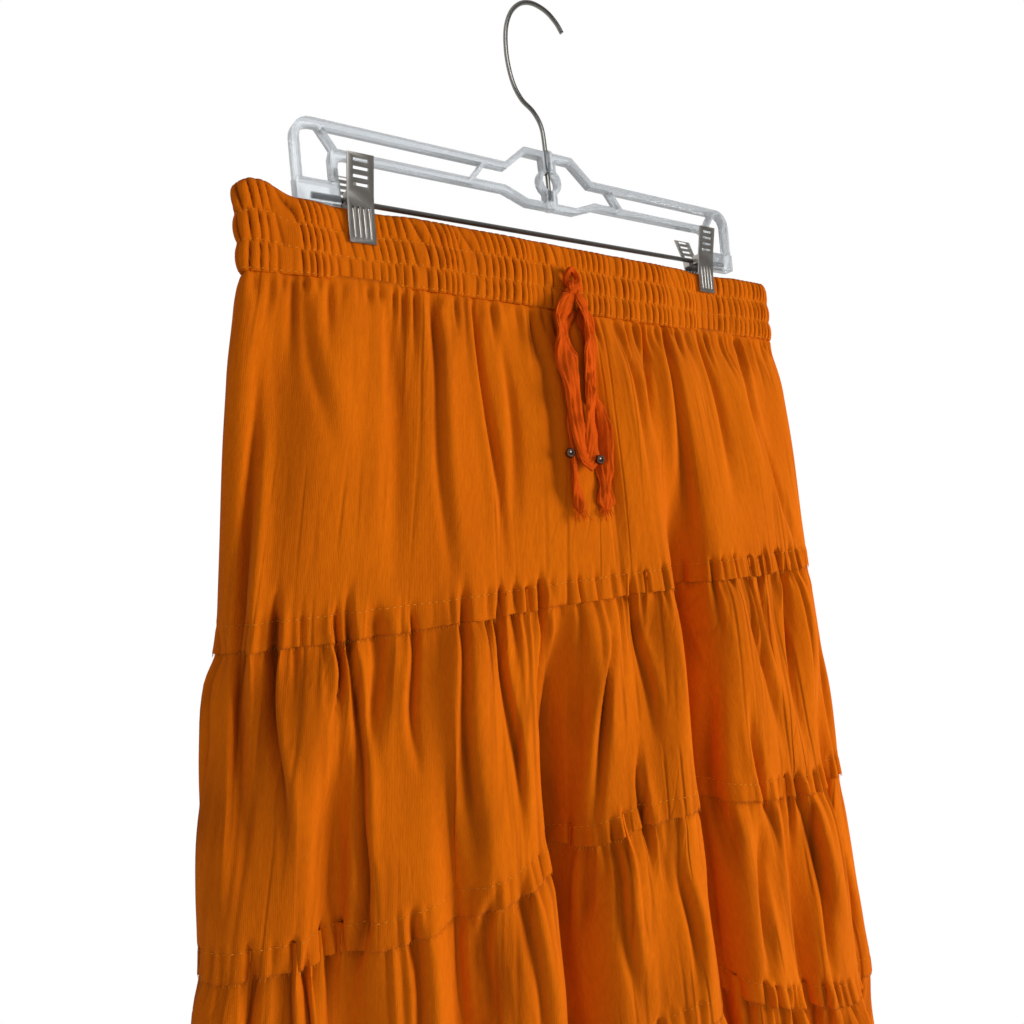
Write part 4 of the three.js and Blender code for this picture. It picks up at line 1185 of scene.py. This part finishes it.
class SKIRT_OT_tiers(bpy.types.Operator):
    """Adds the five gathered tiers, with their stitches and frayed edges"""

    bl_idname = "skirt.tiers"
    bl_label = "Tiers"

    def execute(self, context):
        settings = context.scene.skirt_cloth
        for number, tier in enumerate(TIERS, start=1):
            grid, across, down, heights, painted_shade = tier_grid(number, settings)
            piece = cloth_tube(f"gauze_tier_{number}", grid, across, down, painted_shade, settings.wall)
            nodes = (f"{tier['name']}_front", f"{tier['name']}_back")
            finish_piece(piece, "cloth", *nodes)
            normal = grid_normals(grid)
            frayed = fringe(f"frayed_edge_{number}", grid[-1], normal[-1], seed=60 + number, **FRINGE)
            finish_piece(frayed, "thread")
            if number < len(TIERS):
                row = int(np.argmin(np.abs(heights - tier["edge"] - FLAP)))
                stitches = dashes(f"seam_stitches_{number}", grid[row], normal[row], **SEAM_STITCH)
                finish_piece(stitches, "thread")
            flat_size(grid)
        return {"FINISHED"}


class SKIRT_OT_waistband(bpy.types.Operator):
    """Adds the shirred waistband with its three channels and rows of stitches"""

    bl_idname = "skirt.waistband"
    bl_label = "Waistband"

    def execute(self, context):
        settings = context.scene.skirt_cloth
        grid, across, down, painted_shade = band_grid(settings)
        band = cloth_tube("waistband_shirred", grid, across, down, painted_shade, BAND_WALL * MM)
        finish_piece(band, "cloth", "waistband_front", "waistband_back")
        normal = grid_normals(grid)
        for k in BAND_STITCH_ROWS:
            stitches = dashes(f"band_stitches_{k}", grid[k], normal[k], **BAND_STITCH)
            finish_piece(stitches, "thread")
        flat_size(grid)
        return {"FINISHED"}


def copy_of_node(node, name):
    """A merged copy of a frame node, to be cut and rounded."""
    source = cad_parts[node]
    copy = bpy.data.objects.new(name, source.data.copy())
    bpy.context.collection.objects.link(copy)
    return edit_all(copy, merge=0.01, flatten=1, outward=False)


class SKIRT_OT_hanger(bpy.types.Operator):
    """Adds the clear hanger frame, its rod and its hook"""

    bl_idname = "skirt.hanger"
    bl_label = "Hanger"

    def execute(self, context):
        body = copy_of_node("hanger_frame", "clear_hanger_frame")
        round_edges(body, 0.9, 35, 40)
        finish_piece(body, "plastic", "hanger_frame")

        route = smooth_route([(x, 0, ROD_Z + z) for x, z in HOOK_ROUTE], 120)
        hook = bent_wire("wire_hook", route, HOOK_WIRE)
        finish_piece(hook, "wire", "hook")

        give_material(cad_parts["hanger_rod"], "wire")
        return {"FINISHED"}


class SKIRT_OT_clips(bpy.types.Operator):
    """Adds the two pressed steel clips with their slots, grooves and springs"""

    bl_idname = "skirt.clips"
    bl_label = "Clips"

    def execute(self, context):
        for side, sign in (("left", -1), ("right", 1)):
            x = sign * CLIP_X * MM
            for face, facing in (("front", -1), ("back", 1)):
                node = f"clip_{side}_{face}_plate"
                plate = copy_of_node(node, f"pressed_{side}_{face}_jaw")
                cutters = []
                for k in range(4):
                    z = (ROD_Z + SLOT_TOP - SLOT_STEP * k) * MM
                    bpy.ops.mesh.primitive_cube_add(size=1, location=(x, facing * SLOT_Y * MM, z))
                    context.object.scale = tuple(size * MM for size in SLOT_SIZE)
                    cutters.append(context.object)
                for k in range(4):
                    across = x + (k - 1.5) * GROOVE_STEP * MM
                    bpy.ops.mesh.primitive_cylinder_add(
                        vertices=16, radius=GROOVE_RADIUS * MM, depth=GROOVE_LENGTH * MM,
                        location=(across, facing * GROOVE_Y * MM, (ROD_Z + GROOVE_MIDDLE) * MM),
                    )
                    cutters.append(context.object)
                tool = join(cutters, "cutter")
                apply_modifier(plate, "BOOLEAN", operation="DIFFERENCE", object=tool, solver="EXACT")
                bpy.data.objects.remove(tool)
                round_edges(plate, 0.22, 40, 35)
                finish_piece(plate, "clip", node)
            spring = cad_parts[f"clip_{side}_spring"]
            coil = []
            for t in np.linspace(0, 1, 140):
                angle = 2 * np.pi * SPRING_TURNS * t
                away = (SPRING_RADIUS * math.cos(angle), ROD_Z + SPRING_RADIUS * math.sin(angle))
                coil.append((sign * CLIP_X - SPRING_LENGTH / 2 + SPRING_LENGTH * t, *away))
            wire = bent_wire(f"coiled_{side}_spring", coil, SPRING_WIRE)
            finish_piece(wire, "spring", spring.name)
        return {"FINISHED"}


class SKIRT_PT_panel(bpy.types.Panel):
    """Sizes, colours and the steps that build the skirt"""

    bl_idname = "SKIRT_PT_panel"
    bl_label = "Maxi Skirt"
    bl_space_type = "VIEW_3D"
    bl_region_type = "UI"
    bl_category = "Skirt"

    def draw(self, context):
        column = self.layout.column()
        for name in GROUPS:
            group = getattr(context.scene, name)
            for key in group.__annotations__:
                column.prop(group, key)
        for operator in OPERATORS:
            column.operator(operator.bl_idname)


GROUPS = {
    "skirt_cloth": SkirtClothSettings,
    "skirt_colours": SkirtColourSettings,
    "skirt_view": SkirtViewSettings,
}
OPERATORS = (
    SKIRT_OT_stage,
    SKIRT_OT_materials,
    SKIRT_OT_drawstring,
    SKIRT_OT_tiers,
    SKIRT_OT_waistband,
    SKIRT_OT_hanger,
    SKIRT_OT_clips,
)
CLASSES = (*GROUPS.values(), *OPERATORS, SKIRT_PT_panel)


def register():
    for item in CLASSES:
        bpy.utils.register_class(item)
    for name, group in GROUPS.items():
        setattr(bpy.types.Scene, name, PointerProperty(type=group))


def unregister():
    for name in GROUPS:
        delattr(bpy.types.Scene, name)
    for item in reversed(CLASSES):
        bpy.utils.unregister_class(item)


def main():
    register()
    for operator in OPERATORS:
        group, name = operator.bl_idname.split(".")
        getattr(getattr(bpy.ops, group), name)()
    bpy.context.view_layer.update()


if __name__ == "__main__":
    main()
